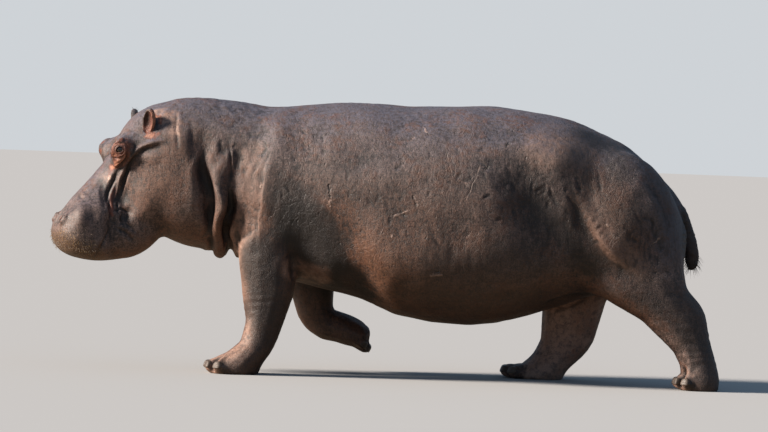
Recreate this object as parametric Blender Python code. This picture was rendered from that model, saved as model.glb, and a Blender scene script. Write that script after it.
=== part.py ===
"""A full-grown hippopotamus at life size, caught in mid stride.

The animal walks toward -X with its left side toward -Y.  The whole body is
modelled first as one closed form: lofted trunk, neck, head and legs are fused,
smoothed, and pressed with the large folds.  It is then thinned to flat faces
and parted by thin cuts into the nodes that a person would name.  Lengths are
metres.  The part ends with its origin on the floor, at the middle of its
bounding box.
"""

import math

import bmesh
import bpy
import numpy as np
from mathutils import Matrix, Vector

# ---------------------------------------------------------------- sizes
SOLE_Z = -0.008          # level of the flat soles while modelling
VOXEL = 0.014            # grain of the fused body
FLESH_TRIANGLES = 4150   # faces left after thinning the body
TAIL_TRIANGLES = 300
GAP = 0.0003             # clearance between nodes that meet
RING_POINTS = 40         # points round a lofted section
ROW_STEPS = 5            # smooth rows made from each row of a section table
CUTTER_POINTS = 14       # points round a space that a leg takes
CUTTER_ROUNDNESS = 3.0
HALF_SPACE_SIZE = 3.0
SIDE_GAIN = 1.6          # how soon a surface counts as facing sideways
MID_FACE = 0.25          # along the head; the folds of the neck stay behind this
POLL_X = -1.0            # a face or jowl lies ahead of this
RELAX_ROUNDS = 50        # evening out after the forms are fused
SETTLE = (5, 0.45)       # rounds and strength after the folds are pressed

# Trunk and neck, section by section from the poll to the rump:
# x, top, bottom, half width, level of greatest width, sideways offset
TRUNK_SECTIONS = (
    (-1.30, 1.290, 0.820, 0.180, 1.040, -0.105),
    (-1.20, 1.402, 0.728, 0.245, 1.020, -0.085),
    (-1.08, 1.446, 0.664, 0.285, 0.990, -0.055),
    (-0.92, 1.448, 0.632, 0.315, 0.960, -0.025),
    (-0.76, 1.432, 0.612, 0.345, 0.930, -0.005),
    (-0.58, 1.411, 0.510, 0.385, 0.900, 0.000),
    (-0.38, 1.434, 0.462, 0.430, 0.870, 0.000),
    (-0.12, 1.453, 0.408, 0.475, 0.830, 0.000),
    (0.12, 1.438, 0.316, 0.510, 0.790, 0.000),
    (0.42, 1.453, 0.278, 0.525, 0.780, 0.000),
    (0.66, 1.454, 0.302, 0.510, 0.790, 0.000),
    (0.88, 1.422, 0.368, 0.465, 0.830, 0.000),
    (1.08, 1.370, 0.440, 0.410, 0.850, 0.000),
    (1.26, 1.290, 0.490, 0.360, 0.850, 0.000),
    (1.41, 1.184, 0.540, 0.300, 0.850, 0.000),
    (1.51, 1.062, 0.590, 0.235, 0.840, 0.000),
    (1.58, 0.950, 0.660, 0.150, 0.810, 0.000),
    (1.60, 0.880, 0.720, 0.080, 0.800, 0.000),
)
TRUNK_ROUNDNESS = 2.25   # 2 is an ellipse, more is squarer

# The head hangs from the poll along its own axis.
POLL = Vector((-1.310, -0.085, 1.353))
HEAD_PITCH = math.radians(52.5)   # muzzle below the horizontal
HEAD_YAW = math.radians(14.0)     # muzzle turned to the animal's left
# Along the axis: distance from the poll, brow line, underside, half width,
# level of greatest width
HEAD_SECTIONS = (
    (-0.20, -0.130, -0.500, 0.180, -0.300),
    (-0.09, -0.042, -0.510, 0.215, -0.280),
    (0.02, 0.014, -0.510, 0.218, -0.270),
    (0.14, 0.008, -0.512, 0.208, -0.270),
    (0.26, -0.022, -0.510, 0.198, -0.290),
    (0.37, -0.024, -0.508, 0.172, -0.310),
    (0.47, -0.016, -0.492, 0.168, -0.300),
    (0.57, -0.014, -0.474, 0.190, -0.240),
    (0.67, -0.020, -0.416, 0.212, -0.200),
    (0.742, -0.024, -0.342, 0.220, -0.175),
    (0.782, -0.042, -0.284, 0.206, -0.165),
    (0.812, -0.085, -0.226, 0.172, -0.155),
    (0.828, -0.120, -0.180, 0.110, -0.150),
)
HEAD_ROUNDNESS = 2.5
LEG_ROUNDNESS = 2.2
LIMB_ROUNDNESS = 2.1

# Legs that stand: height, front edge, back edge, sideways middle, half width
FRONT_LEFT = (
    (0.85, -0.694, -0.374, -0.250, 0.135),
    (0.62, -0.748, -0.429, -0.270, 0.128),
    (0.43, -0.720, -0.440, -0.285, 0.115),
    (0.28, -0.698, -0.487, -0.292, 0.102),
    (0.17, -0.720, -0.522, -0.296, 0.100),
    (0.11, -0.784, -0.552, -0.300, 0.110),
    (0.06, -0.854, -0.588, -0.300, 0.126),
    (0.02, -0.864, -0.609, -0.300, 0.130),
    (-0.03, -0.859, -0.624, -0.300, 0.122),
)
HIND_RIGHT = (
    (0.85, 0.870, 1.330, 0.230, 0.150),
    (0.60, 0.885, 1.275, 0.250, 0.140),
    (0.42, 0.888, 1.234, 0.265, 0.122),
    (0.29, 0.883, 1.200, 0.272, 0.108),
    (0.20, 0.878, 1.176, 0.276, 0.102),
    (0.13, 0.848, 1.130, 0.280, 0.104),
    (0.08, 0.800, 1.075, 0.280, 0.116),
    (0.03, 0.755, 1.028, 0.280, 0.130),
    (-0.03, 0.755, 1.005, 0.280, 0.122),
)
HIND_LEFT = (
    (0.85, 1.120, 1.600, -0.235, 0.150),
    (0.66, 1.085, 1.618, -0.255, 0.148),
    (0.53, 1.110, 1.645, -0.268, 0.138),
    (0.44, 1.222, 1.720, -0.276, 0.126),
    (0.36, 1.378, 1.748, -0.284, 0.115),
    (0.28, 1.472, 1.762, -0.290, 0.106),
    (0.19, 1.568, 1.788, -0.296, 0.102),
    (0.11, 1.612, 1.810, -0.300, 0.106),
    (0.05, 1.634, 1.822, -0.300, 0.120),
    (-0.03, 1.645, 1.816, -0.300, 0.116),
)
# The lifted right forefoot: path point, half depth, half width
FRONT_RIGHT = (
    ((-0.510, 0.240, 0.80), 0.170, 0.135),
    ((-0.422, 0.265, 0.58), 0.140, 0.118),
    ((-0.354, 0.278, 0.42), 0.120, 0.104),
    ((-0.344, 0.284, 0.322), 0.100, 0.094),
    ((-0.292, 0.288, 0.252), 0.090, 0.090),
    ((-0.208, 0.290, 0.228), 0.080, 0.096),
    ((-0.126, 0.290, 0.200), 0.074, 0.112),
    ((-0.076, 0.290, 0.178), 0.064, 0.116),
    ((-0.052, 0.290, 0.166), 0.044, 0.100),
)

# Foot, middle of the sole, way ahead, way down, distance to the toes
FEET = (
    ("front_left", (-0.742, -0.300, 0.026), (-1.0, -0.10, 0.0), (0.0, 0.0, -1.0), 0.108),
    ("hind_left", (1.722, -0.300, 0.026), (-1.0, -0.05, 0.0), (0.0, 0.0, -1.0), 0.092),
    ("hind_right", (0.850, 0.280, 0.026), (-1.0, 0.05, 0.0), (0.0, 0.0, -1.0), 0.120),
    ("front_right", (-0.130, 0.290, 0.198), (0.68, 0.0, -0.73), (-0.73, 0.0, -0.68), 0.075),
)
LIFTED_FOOT = 3          # the one of the four that stands on nothing
# Four toes fan from each foot: half length, half width, half height
TOE_SIZE = (0.070, 0.042, 0.038)
TOE_FAN = (-48.0, -16.0, 16.0, 48.0)
NAIL_SIZE = (0.017, 0.028, 0.022)
NAIL_PLACE = (0.050, 0.013)    # ahead of the toe's middle and above it

EYE_RADIUS = 0.027
EYE_PLACE = (0.236, 0.178, -0.020)     # along the head, to the side, up

# Rounded masses fused into the head on both sides: place along, aside and
# up in the head's axes, then half sizes along the same axes
HEAD_MASSES = (
    ((0.226, 0.138, -0.038), (0.090, 0.066, 0.068)),    # eye socket
    ((0.650, 0.135, -0.165), (0.150, 0.090, 0.125)),    # whisker pad
    ((0.690, 0.108, -0.054), (0.062, 0.052, 0.042)),    # nostril mound
    ((0.285, 0.140, -0.335), (0.205, 0.116, 0.165)),    # jaw muscle
    ((0.430, 0.108, -0.376), (0.255, 0.100, 0.122)),    # lower jaw
)
# The same for the body: place, then half sizes
BODY_MASSES = (
    ((-0.510, 0.200, 0.930), (0.235, 0.215, 0.400)),    # shoulder
    ((1.240, 0.215, 0.850), (0.345, 0.215, 0.400)),     # thigh
    ((1.420, 0.130, 0.770), (0.225, 0.170, 0.270)),     # buttock
    ((0.880, 0.240, 1.150), (0.160, 0.150, 0.150)),     # hip bone
    ((-0.856, 0.090, 0.705), (0.042, 0.165, 0.130)),    # hanging dewlap
)

# Ear: place on the head, half sizes of the leaf and of its hollow as
# (across, through, along), and how far the ear leans out
EAR_PLACE = (0.072, 0.165, -0.085)
EAR_LEAF = (0.043, 0.030, 0.082)
EAR_HOLLOW = (0.034, 0.028, 0.066)
EAR_LEAN = {1: 0.30, -1: 0.55}      # the right ear droops further
EAR_FACING = 0.62        # opening: 0 straight to the side, 1 straight ahead
EAR_RISE = 0.74          # how much of the leaf's half length stands above its root
EAR_SCOOP = (0.018, 0.004)   # the hollow's middle, ahead of the leaf's and above

# Tail: path point down the cleft of the rump, half depth, half width
TAIL_SECTIONS = (
    ((1.428, 0.000, 1.105), 0.048, 0.056),
    ((1.510, 0.000, 1.022), 0.048, 0.054),
    ((1.583, 0.000, 0.930), 0.045, 0.048),
    ((1.632, 0.000, 0.835), 0.042, 0.042),
    ((1.663, 0.000, 0.735), 0.041, 0.035),
    ((1.671, 0.000, 0.668), 0.037, 0.028),
    ((1.671, 0.000, 0.618), 0.018, 0.014),
)

# Colours: linear red, green, blue, then roughness
HIDE = (0.085, 0.058, 0.055, 0.55)
HIDE_WARM = (0.150, 0.085, 0.070, 0.55)
NAIL = (0.060, 0.046, 0.040, 0.40)
EYE = (0.012, 0.008, 0.006, 0.08)


# ---------------------------------------------------------------- helpers
def clear_scene():
    for item in list(bpy.data.objects):
        bpy.data.objects.remove(item, do_unlink=True)


def finish(name, values):
    """A plain material from a colour and a roughness."""
    material = bpy.data.materials.new(name)
    material.use_nodes = True
    shader = material.node_tree.nodes["Principled BSDF"]
    shader.inputs["Base Color"].default_value = (*values[:3], 1.0)
    shader.inputs["Roughness"].default_value = values[3]
    shader.inputs["Metallic"].default_value = 0.0
    return material


def flatten(row):
    """One row of numbers out of a row that may hold a point."""
    flat = []
    for value in row:
        flat.extend(value if isinstance(value, tuple) else (value,))
    return flat


def smooth_rows(sections, steps):
    """Rows of a section table with smooth in-between rows added."""
    rows = np.array([flatten(row) for row in sections], float)
    padded = np.vstack([2 * rows[0] - rows[1], rows, 2 * rows[-1] - rows[-2]])
    out = []
    for i in range(len(rows) - 1):
        before, start, end, after = padded[i : i + 4]
        for k in range(steps):
            t = k / steps
            out.append(
                0.5
                * (
                    2 * start
                    + (end - before) * t
                    + (2 * before - 5 * start + 4 * end - after) * t**2
                    + (3 * start - before - 3 * end + after) * t**3
                )
            )
    out.append(rows[-1])
    return np.array(out)


def ring(middle, across, upward, half_width, rise, drop, roundness, count=RING_POINTS):
    """A closed section with its own half width, rise above and drop below."""
    points = []
    for k in range(count):
        angle = 2 * math.pi * k / count
        c, s = math.cos(angle), math.sin(angle)
        side = math.copysign(abs(c) ** (2 / roundness), c) * half_width
        height = math.copysign(abs(s) ** (2 / roundness), s)
        height *= rise if s > 0 else drop
        points.append(middle + across * side + upward * height)
    return points


def loft(name, rings):
    """A closed tube through rings of equal count."""
    mesh = bpy.data.meshes.new(name)
    count = len(rings[0])
    points = [point for section in rings for point in section]
    faces = []
    for r in range(len(rings) - 1):
        for k in range(count):
            a = r * count + k
            b = r * count + (k + 1) % count
            faces.append((a, b, b + count, a + count))
    faces.append(tuple(reversed(range(count))))
    faces.append(tuple(range(len(points) - count, len(points))))
    mesh.from_pydata([tuple(p) for p in points], [], faces)
    return add_object(name, closed_outward(mesh))


def closed_outward(mesh):
    """Turn a closed mesh so that its flat triangles point out."""
    work = bmesh.new()
    work.from_mesh(mesh)
    bmesh.ops.triangulate(work, faces=work.faces[:])
    bmesh.ops.recalc_face_normals(work, faces=work.faces[:])
    if work.calc_volume(signed=True) < 0:
        bmesh.ops.reverse_faces(work, faces=work.faces[:])
    work.to_mesh(mesh)
    work.free()
    return mesh


def add_object(name, mesh):
    item = bpy.data.objects.new(name, mesh)
    bpy.context.scene.collection.objects.link(item)
    return item


def ellipsoid(name, place, sizes, turn=None, detail=3):
    """A round lump with half sizes along its own axes."""
    work = bmesh.new()
    bmesh.ops.create_icosphere(work, subdivisions=detail, radius=1.0)
    turn = turn or Matrix.Identity(3)
    matrix = Matrix.Translation(place) @ turn.to_4x4() @ Matrix.Diagonal((*sizes, 1.0))
    bmesh.ops.transform(work, matrix=matrix, verts=work.verts[:])
    mesh = bpy.data.meshes.new(name)
    work.to_mesh(mesh)
    work.free()
    return add_object(name, closed_outward(mesh))


def tube(name, sections):
    """A bent limb whose rings stand square to its path."""
    rows = smooth_rows(sections, ROW_STEPS)
    path = rows[:, :3]
    ahead = np.gradient(path, axis=0)
    rings = []
    for row, way in zip(rows, ahead):
        way = Vector(way).normalized()
        across = Vector((0, 1, 0))
        upward = way.cross(across).normalized()
        across = upward.cross(way).normalized()
        depth, width = row[3], row[4]
        rings.append(ring(Vector(row[:3]), across, upward, width, depth, depth, LIMB_ROUNDNESS))
    return loft(name, rings)


def column(name, sections, steps=ROW_STEPS, roundness=LEG_ROUNDNESS, count=RING_POINTS):
    """A standing leg whose rings lie level."""
    across, deep = Vector((0, 1, 0)), Vector((1, 0, 0))
    rings = []
    for height, front, back, side, half in smooth_rows(sections, steps):
        middle = Vector(((front + back) / 2, side, height))
        depth = (back - front) / 2
        rings.append(ring(middle, across, deep, half, depth, depth, roundness, count))
    return loft(name, rings)


def with_modifier(item, kind, **values):
    """The item's mesh as one modifier leaves it."""
    modifier = item.modifiers.new(kind, kind)
    for key, value in values.items():
        setattr(modifier, key, value)
    view = bpy.context.evaluated_depsgraph_get()
    mesh = bpy.data.meshes.new_from_object(item.evaluated_get(view))
    item.modifiers.remove(modifier)
    old = item.data
    item.data = mesh
    bpy.data.meshes.remove(old)
    return item


def discard(item):
    bpy.data.objects.remove(item, do_unlink=True)


def fuse(name, items, voxel):
    """One closed body round several that run into each other."""
    work = bmesh.new()
    for item in items:
        work.from_mesh(item.data)
        discard(item)
    mesh = bpy.data.meshes.new(name)
    work.to_mesh(mesh)
    work.free()
    return with_modifier(add_object(name, mesh), "REMESH", mode="VOXEL", voxel_size=voxel)


def points_of(item):
    flat = np.empty(3 * len(item.data.vertices))
    item.data.vertices.foreach_get("co", flat)
    return flat.reshape(-1, 3)


def move_points(item, points):
    item.data.vertices.foreach_set("co", points.ravel())
    item.data.update()


def normals_of(item):
    flat = np.empty(3 * len(item.data.vertices))
    item.data.vertices.foreach_get("normal", flat)
    return flat.reshape(-1, 3)


def relax(item, rounds, strength):
    """Even out the surface; strength is one number or one for each point."""
    ends = np.empty(2 * len(item.data.edges), int)
    item.data.edges.foreach_get("vertices", ends)
    ends = ends.reshape(-1, 2)
    points = points_of(item)
    share = np.bincount(ends.ravel(), minlength=len(points))[:, None]
    pull = np.broadcast_to(np.asarray(strength, float), len(points))[:, None]
    for _ in range(rounds):
        total = np.zeros_like(points)
        np.add.at(total, ends[:, 0], points[ends[:, 1]])
        np.add.at(total, ends[:, 1], points[ends[:, 0]])
        points = points + pull * (total / share - points)
    move_points(item, points)


def path_distance(flat_points, path):
    """Distance in a plane from each point to a bent line."""
    best = np.full(len(flat_points), np.inf)
    for start, end in zip(path[:-1], path[1:]):
        start, end = np.array(start), np.array(end)
        run = end - start
        t = np.clip((flat_points - start) @ run / (run @ run), 0.0, 1.0)
        gap = np.linalg.norm(flat_points - start - t[:, None] * run, axis=1)
        best = np.minimum(best, gap)
    return best


def falloff(distance, radius):
    return np.clip(1.0 - (distance / radius) ** 2, 0.0, 1.0) ** 2


# ---------------------------------------------------------------- places
HEAD_AHEAD = Vector((
    -math.cos(HEAD_PITCH) * math.cos(HEAD_YAW),
    -math.cos(HEAD_PITCH) * math.sin(HEAD_YAW),
    -math.sin(HEAD_PITCH),
))
HEAD_LEFT = Vector((math.sin(HEAD_YAW), -math.cos(HEAD_YAW), 0.0))
HEAD_UP = HEAD_AHEAD.cross(HEAD_LEFT).normalized()


def on_head(along, left, up):
    """A place in the head's own axes."""
    return POLL + HEAD_AHEAD * along + HEAD_LEFT * left + HEAD_UP * up


def head_axes(points):
    """World points told along, left of and above the head's axis."""
    frame = np.array([HEAD_AHEAD, HEAD_LEFT, HEAD_UP])
    return (points - np.array(POLL)) @ frame.T


# ---------------------------------------------------------------- flesh
def make_trunk():
    rings = []
    for x, top, bottom, half, level, side in smooth_rows(TRUNK_SECTIONS, ROW_STEPS):
        rings.append(
            ring(
                Vector((x, side, level)), Vector((0, 1, 0)), Vector((0, 0, 1)),
                half, top - level, level - bottom, TRUNK_ROUNDNESS,
            )
        )
    return loft("trunk_form", rings)


def make_head():
    rings = []
    for along, brow, under, half, level in smooth_rows(HEAD_SECTIONS, ROW_STEPS):
        rings.append(
            ring(
                on_head(along, 0.0, level), HEAD_LEFT, HEAD_UP,
                half, brow - level, level - under, HEAD_ROUNDNESS,
            )
        )
    return loft("head_form", rings)


def make_masses():
    masses = []
    turn = Matrix((HEAD_AHEAD, HEAD_LEFT, HEAD_UP)).transposed()
    for side in (1, -1):
        for (along, left, up), sizes in HEAD_MASSES:
            masses.append(ellipsoid("mass", on_head(along, side * left, up), sizes, turn))
        for (x, y, z), sizes in BODY_MASSES:
            masses.append(ellipsoid("mass", Vector((x, side * y, z)), sizes))
    return masses


def toe_places(foot):
    """Middle and heading of each of a foot's four toes."""
    _, place, forward, downward, reach = foot
    middle = Vector(place)
    ahead = Vector(forward).normalized()
    down = Vector(downward).normalized()
    side = ahead.cross(down).normalized()
    places = []
    for angle in TOE_FAN:
        turned = math.radians(angle)
        way = (ahead * math.cos(turned) + side * math.sin(turned)).normalized()
        places.append((middle + way * reach, way, down))
    return places


def make_toes():
    toes = []
    for foot in FEET:
        for middle, way, down in toe_places(foot):
            turn = Matrix((way, way.cross(down), down)).transposed()
            toes.append(ellipsoid("toe_form", middle, TOE_SIZE, turn))
    return toes


def make_flesh():
    forms = [
        make_trunk(),
        make_head(),
        column("front_left_form", FRONT_LEFT),
        column("hind_left_form", HIND_LEFT),
        column("hind_right_form", HIND_RIGHT),
        tube("front_right_form", FRONT_RIGHT),
    ]
    forms += make_masses()
    forms += make_toes()
    return fuse("flesh", forms, VOXEL)


def smoothness(points):
    """How far each point is evened out: most on the trunk, least on the feet."""
    along = head_axes(points)[:, 0]
    trunk = np.clip((points[:, 2] - 0.50) / 0.25, 0.0, 1.0)
    trunk *= np.clip((along - 0.55) / -0.50, 0.0, 1.0)
    head = np.clip((along - 0.05) / 0.15, 0.0, 1.0) * (points[:, 0] < POLL_X)
    legs = np.clip((points[:, 2] - 0.06) / 0.12, 0.0, 1.0)
    lifted = np.linalg.norm(points - np.array(FEET[LIFTED_FOOT][1]), axis=1)
    legs *= np.clip((lifted - 0.12) / 0.08, 0.0, 1.0)
    return 0.02 + 0.10 * legs + 0.38 * trunk * (1.0 - 0.70 * head)


# Large folds and hollows of the flanks, pressed into both sides:
# line along the flank (x, z), reach, depth (inward is negative)
BODY_FOLDS = (
    (((-0.965, 1.230), (-0.935, 0.980), (-0.905, 0.660)), 0.070, -0.024),   # neck crease
    (((-0.872, 1.120), (-0.848, 0.860), (-0.855, 0.600)), 0.060, 0.020),    # dewlap roll
    (((-0.795, 1.150), (-0.800, 0.900), (-0.812, 0.650)), 0.065, -0.020),   # behind the dewlap
    (((-0.543, 1.380), (-0.605, 1.100), (-0.655, 0.690)), 0.090, 0.016),    # shoulder edge
    (((0.740, 1.060), (0.810, 0.930), (0.850, 0.790)), 0.200, -0.028),      # flank hollow
    (((0.850, 1.250), (0.900, 1.225)), 0.150, 0.020),                       # hip bone
    (((1.090, 0.860), (1.145, 0.760), (1.250, 0.650)), 0.080, 0.014),       # thigh ridge
)
# The same on the head, along its axis and up from it
HEAD_FOLDS = (
    (((0.440, -0.090), (0.420, -0.230)), 0.100, -0.016),                    # narrow of the face
    (((0.226, -0.084), (0.360, -0.144), (0.443, -0.190)), 0.045, -0.012),   # fold below the eye
    (((0.560, -0.215), (0.640, -0.300), (0.700, -0.370)), 0.050, -0.016),   # corner of the mouth
    (((0.215, -0.060), (0.150, -0.075), (0.100, -0.112)), 0.045, 0.010),    # cheek arch
)


def press_folds(item):
    """Push the flanks and the sides of the head along their own normals."""
    points = points_of(item)
    normals = normals_of(item)
    axes = head_axes(points)
    side = np.clip(np.abs(normals[:, 1]) * SIDE_GAIN, 0.0, 1.0)
    off_head = axes[:, 0] < MID_FACE
    on_head_side = points[:, 0] < POLL_X
    push = np.zeros(len(points))
    for path, reach, depth in BODY_FOLDS:
        push += off_head * depth * falloff(path_distance(points[:, [0, 2]], path), reach)
    for path, reach, depth in HEAD_FOLDS:
        push += on_head_side * depth * falloff(path_distance(axes[:, [0, 2]], path), reach)
    move_points(item, points + normals * (side * push)[:, None])


def stand_flat(item):
    """Cut the soles off flat at floor level."""
    work = bmesh.new()
    work.from_mesh(item.data)
    everything = work.verts[:] + work.edges[:] + work.faces[:]
    cut = bmesh.ops.bisect_plane(
        work, geom=everything, plane_co=(0, 0, SOLE_Z), plane_no=(0, 0, -1), clear_outer=True
    )
    rim = [edge for edge in cut["geom_cut"] if isinstance(edge, bmesh.types.BMEdge)]
    bmesh.ops.edgenet_fill(work, edges=rim)
    bmesh.ops.recalc_face_normals(work, faces=work.faces[:])
    work.to_mesh(item.data)
    work.free()


def thin_out(item, triangles, keep=None):
    """Fewer faces; keep is how much finer each point stays, 0 to 1."""
    ratio = triangles / (2 * len(item.data.polygons))
    if keep is None:
        return with_modifier(item, "DECIMATE", ratio=ratio)
    group = item.vertex_groups.new(name="coarse")
    for index, value in enumerate(keep):
        group.add([index], 1.0 - value, "REPLACE")
    with_modifier(
        item, "DECIMATE", ratio=ratio, vertex_group=group.name, vertex_group_factor=1.0
    )
    item.vertex_groups.clear()
    return item


def detail_wanted(points):
    """The head and feet keep finer faces than the trunk."""
    along = head_axes(points)[:, 0]
    head = np.clip((along - 0.02) / 0.15, 0.0, 1.0) * (points[:, 0] < POLL_X)
    feet = np.clip((0.16 - points[:, 2]) / 0.08, 0.0, 1.0)
    return np.clip(0.10 * head + 0.12 * feet, 0.0, 1.0)


# ---------------------------------------------------------------- parting
def copy_of(item, name):
    return add_object(name, item.data.copy())


def widened(item, distance=GAP):
    """A copy grown outward by the clearance."""
    grown = copy_of(item, item.name + "_wide")
    move_points(grown, points_of(grown) + normals_of(grown) * distance)
    return grown


def combine(item, cutter, operation):
    """Cut the item by a closed cutter; the cutter stays."""
    cutter.display_type = "WIRE"
    cutter.hide_render = True
    return with_modifier(item, "BOOLEAN", operation=operation, object=cutter, solver="EXACT")


def cut_away(item, cutter):
    """Remove the cutter's space and a clearance round it."""
    wide = widened(cutter)
    combine(item, wide, "DIFFERENCE")
    discard(wide)
    return item


def half_space(point, facing):
    """A large block whose one face passes through the point."""
    work = bmesh.new()
    bmesh.ops.create_cube(work, size=HALF_SPACE_SIZE)
    turn = facing.normalized().to_track_quat("X", "Z").to_matrix().to_4x4()
    place = Matrix.Translation(point + facing.normalized() * HALF_SPACE_SIZE / 2)
    bmesh.ops.transform(work, matrix=place @ turn, verts=work.verts[:])
    mesh = bpy.data.meshes.new("half_space")
    work.to_mesh(mesh)
    work.free()
    return add_object("half_space", mesh)


# The space that each leg takes out of the body, domed at the top:
# height, front, back, sideways middle, half width
LEG_SPACES = {
    "leg_front_left": (
        (-0.10, -1.02, -0.36, -0.35, 0.27), (0.42, -1.02, -0.36, -0.35, 0.27),
        (0.50, -0.86, -0.36, -0.35, 0.26), (0.62, -0.82, -0.36, -0.35, 0.25),
        (0.72, -0.78, -0.40, -0.35, 0.22), (0.79, -0.70, -0.48, -0.35, 0.13),
    ),
    "leg_front_right": (
        (-0.10, -0.66, 0.10, 0.35, 0.27), (0.34, -0.66, 0.10, 0.35, 0.27),
        (0.42, -0.68, -0.20, 0.35, 0.27), (0.60, -0.72, -0.26, 0.35, 0.25),
        (0.72, -0.68, -0.32, 0.35, 0.21), (0.79, -0.60, -0.40, 0.35, 0.13),
    ),
    "leg_hind_right": (
        (-0.10, 0.50, 1.36, 0.35, 0.29), (0.30, 0.50, 1.36, 0.35, 0.29),
        (0.42, 0.80, 1.36, 0.35, 0.29), (0.62, 0.84, 1.40, 0.35, 0.27),
        (0.76, 0.90, 1.34, 0.35, 0.23), (0.84, 1.00, 1.24, 0.35, 0.13),
    ),
    "leg_hind_left": (
        (-0.10, 1.20, 2.00, -0.35, 0.29), (0.36, 1.02, 2.00, -0.35, 0.29),
        (0.46, 1.00, 1.86, -0.35, 0.29), (0.62, 1.02, 1.74, -0.35, 0.27),
        (0.76, 1.10, 1.62, -0.35, 0.23), (0.84, 1.22, 1.50, -0.35, 0.13),
    ),
}
# Planes that part head from neck and neck from trunk: point, way forward
HEAD_PLANE = (Vector((-1.165, -0.060, 1.050)), Vector((-1.0, -0.12, 0.075)))
NECK_PLANE = (Vector((-0.745, 0.000, 1.020)), Vector((-1.0, 0.0, 0.110)))


def part_body(whole):
    """Head, neck, trunk and legs out of the one body."""
    nodes = {}
    for name, space in LEG_SPACES.items():
        cutter = column("space", space, 1, CUTTER_ROUNDNESS, CUTTER_POINTS)
        nodes[name] = combine(copy_of(whole, name), cutter, "INTERSECT")
        cut_away(whole, cutter)
        discard(cutter)
    for name, (point, facing) in (("head", HEAD_PLANE), ("neck", NECK_PLANE)):
        cutter = half_space(point, facing)
        nodes[name] = combine(copy_of(whole, name), cutter, "INTERSECT")
        cut_away(whole, cutter)
        discard(cutter)
    whole.name = "trunk"
    nodes["trunk"] = whole
    return nodes


# ---------------------------------------------------------------- eyes, ears, nails, tail
def add_eye(name, side, head):
    along, left, up = EYE_PLACE
    eye = ellipsoid(name, on_head(along, side * left, up), (EYE_RADIUS,) * 3, detail=2)
    cut_away(head, eye)
    return eye


def add_ear(name, side, head):
    along, left, up = EAR_PLACE
    root = on_head(along, side * left, up)
    out = HEAD_LEFT * side
    ahead = Vector((HEAD_AHEAD.x, HEAD_AHEAD.y, 0.0)).normalized()
    upward = (Vector((0, 0, 1)) + out * EAR_LEAN[side]).normalized()
    opening = out * (1.0 - EAR_FACING) + ahead * EAR_FACING
    opening = (opening - upward * opening.dot(upward)).normalized()
    turn = Matrix((upward.cross(opening), opening, upward)).transposed()
    middle = root + upward * EAR_LEAF[2] * EAR_RISE
    ear = ellipsoid(name, middle, EAR_LEAF, turn, detail=2)
    cut_away(head, ear)
    scoop = middle + opening * EAR_SCOOP[0] + upward * EAR_SCOOP[1]
    hollow = ellipsoid("hollow", scoop, EAR_HOLLOW, turn, detail=2)
    combine(ear, hollow, "DIFFERENCE")
    discard(hollow)
    return ear


def add_nails(foot, leg):
    nails = []
    for count, (middle, way, down) in enumerate(toe_places(foot), start=1):
        turn = Matrix((way, way.cross(down), down)).transposed()
        place = middle + way * NAIL_PLACE[0] - down * NAIL_PLACE[1]
        nail = ellipsoid(f"nail_{foot[0]}_{count}", place, NAIL_SIZE, turn, detail=2)
        cut_away(leg, nail)
        nails.append(nail)
    return nails


def add_tail(trunk):
    tail = tube("tail", TAIL_SECTIONS)
    thin_out(tail, TAIL_TRIANGLES)
    cut_away(trunk, tail)
    return tail


# ---------------------------------------------------------------- the animal
clear_scene()
flesh = make_flesh()
relax(flesh, RELAX_ROUNDS, smoothness(points_of(flesh)))
press_folds(flesh)
relax(flesh, *SETTLE)
thin_out(flesh, FLESH_TRIANGLES, detail_wanted(points_of(flesh)))
stand_flat(flesh)

hide, hide_warm = finish("hide", HIDE), finish("hide_warm", HIDE_WARM)
horn, eyeball = finish("nail", NAIL), finish("eye", EYE)

nodes = part_body(flesh)
looks = {item: hide for item in nodes.values()}
for side_name, side in (("left", 1), ("right", -1)):
    looks[add_ear(f"ear_{side_name}", side, nodes["head"])] = hide_warm
for side_name, side in (("left", 1), ("right", -1)):
    looks[add_eye(f"eye_{side_name}", side, nodes["head"])] = eyeball
for foot in FEET:
    for nail in add_nails(foot, nodes["leg_" + foot[0]]):
        looks[nail] = horn
looks[add_tail(nodes["trunk"])] = hide

# Set the animal on the floor, centred on the origin.
corners = np.vstack([points_of(item) for item in looks])
low, high = corners.min(axis=0), corners.max(axis=0)
ORIGIN = np.array([(low[0] + high[0]) / 2, (low[1] + high[1]) / 2, low[2]])
for item, material in looks.items():
    move_points(item, points_of(item) - ORIGIN)
    item.data.materials.clear()
    item.data.materials.append(material)
    item.data.shade_smooth()
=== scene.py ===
# %% [markdown]
# # A hippopotamus in mid stride
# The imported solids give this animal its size, pose and parting: a head, a
# neck, a trunk, a tail and four legs.  A real hippopotamus wears one bare
# skin over all of them, so this lesson fuses those solids into one form,
# smooths away their flat faces, and then works the skin as a sculptor works
# clay: big folds first, then lids and nostrils, then creases.  The fine
# grain is left to the material, because it is smaller than any face of the
# mesh could be.

import math
from contextlib import contextmanager

import bmesh
import bpy
import numpy as np
from mathutils import Matrix, Vector


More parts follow.
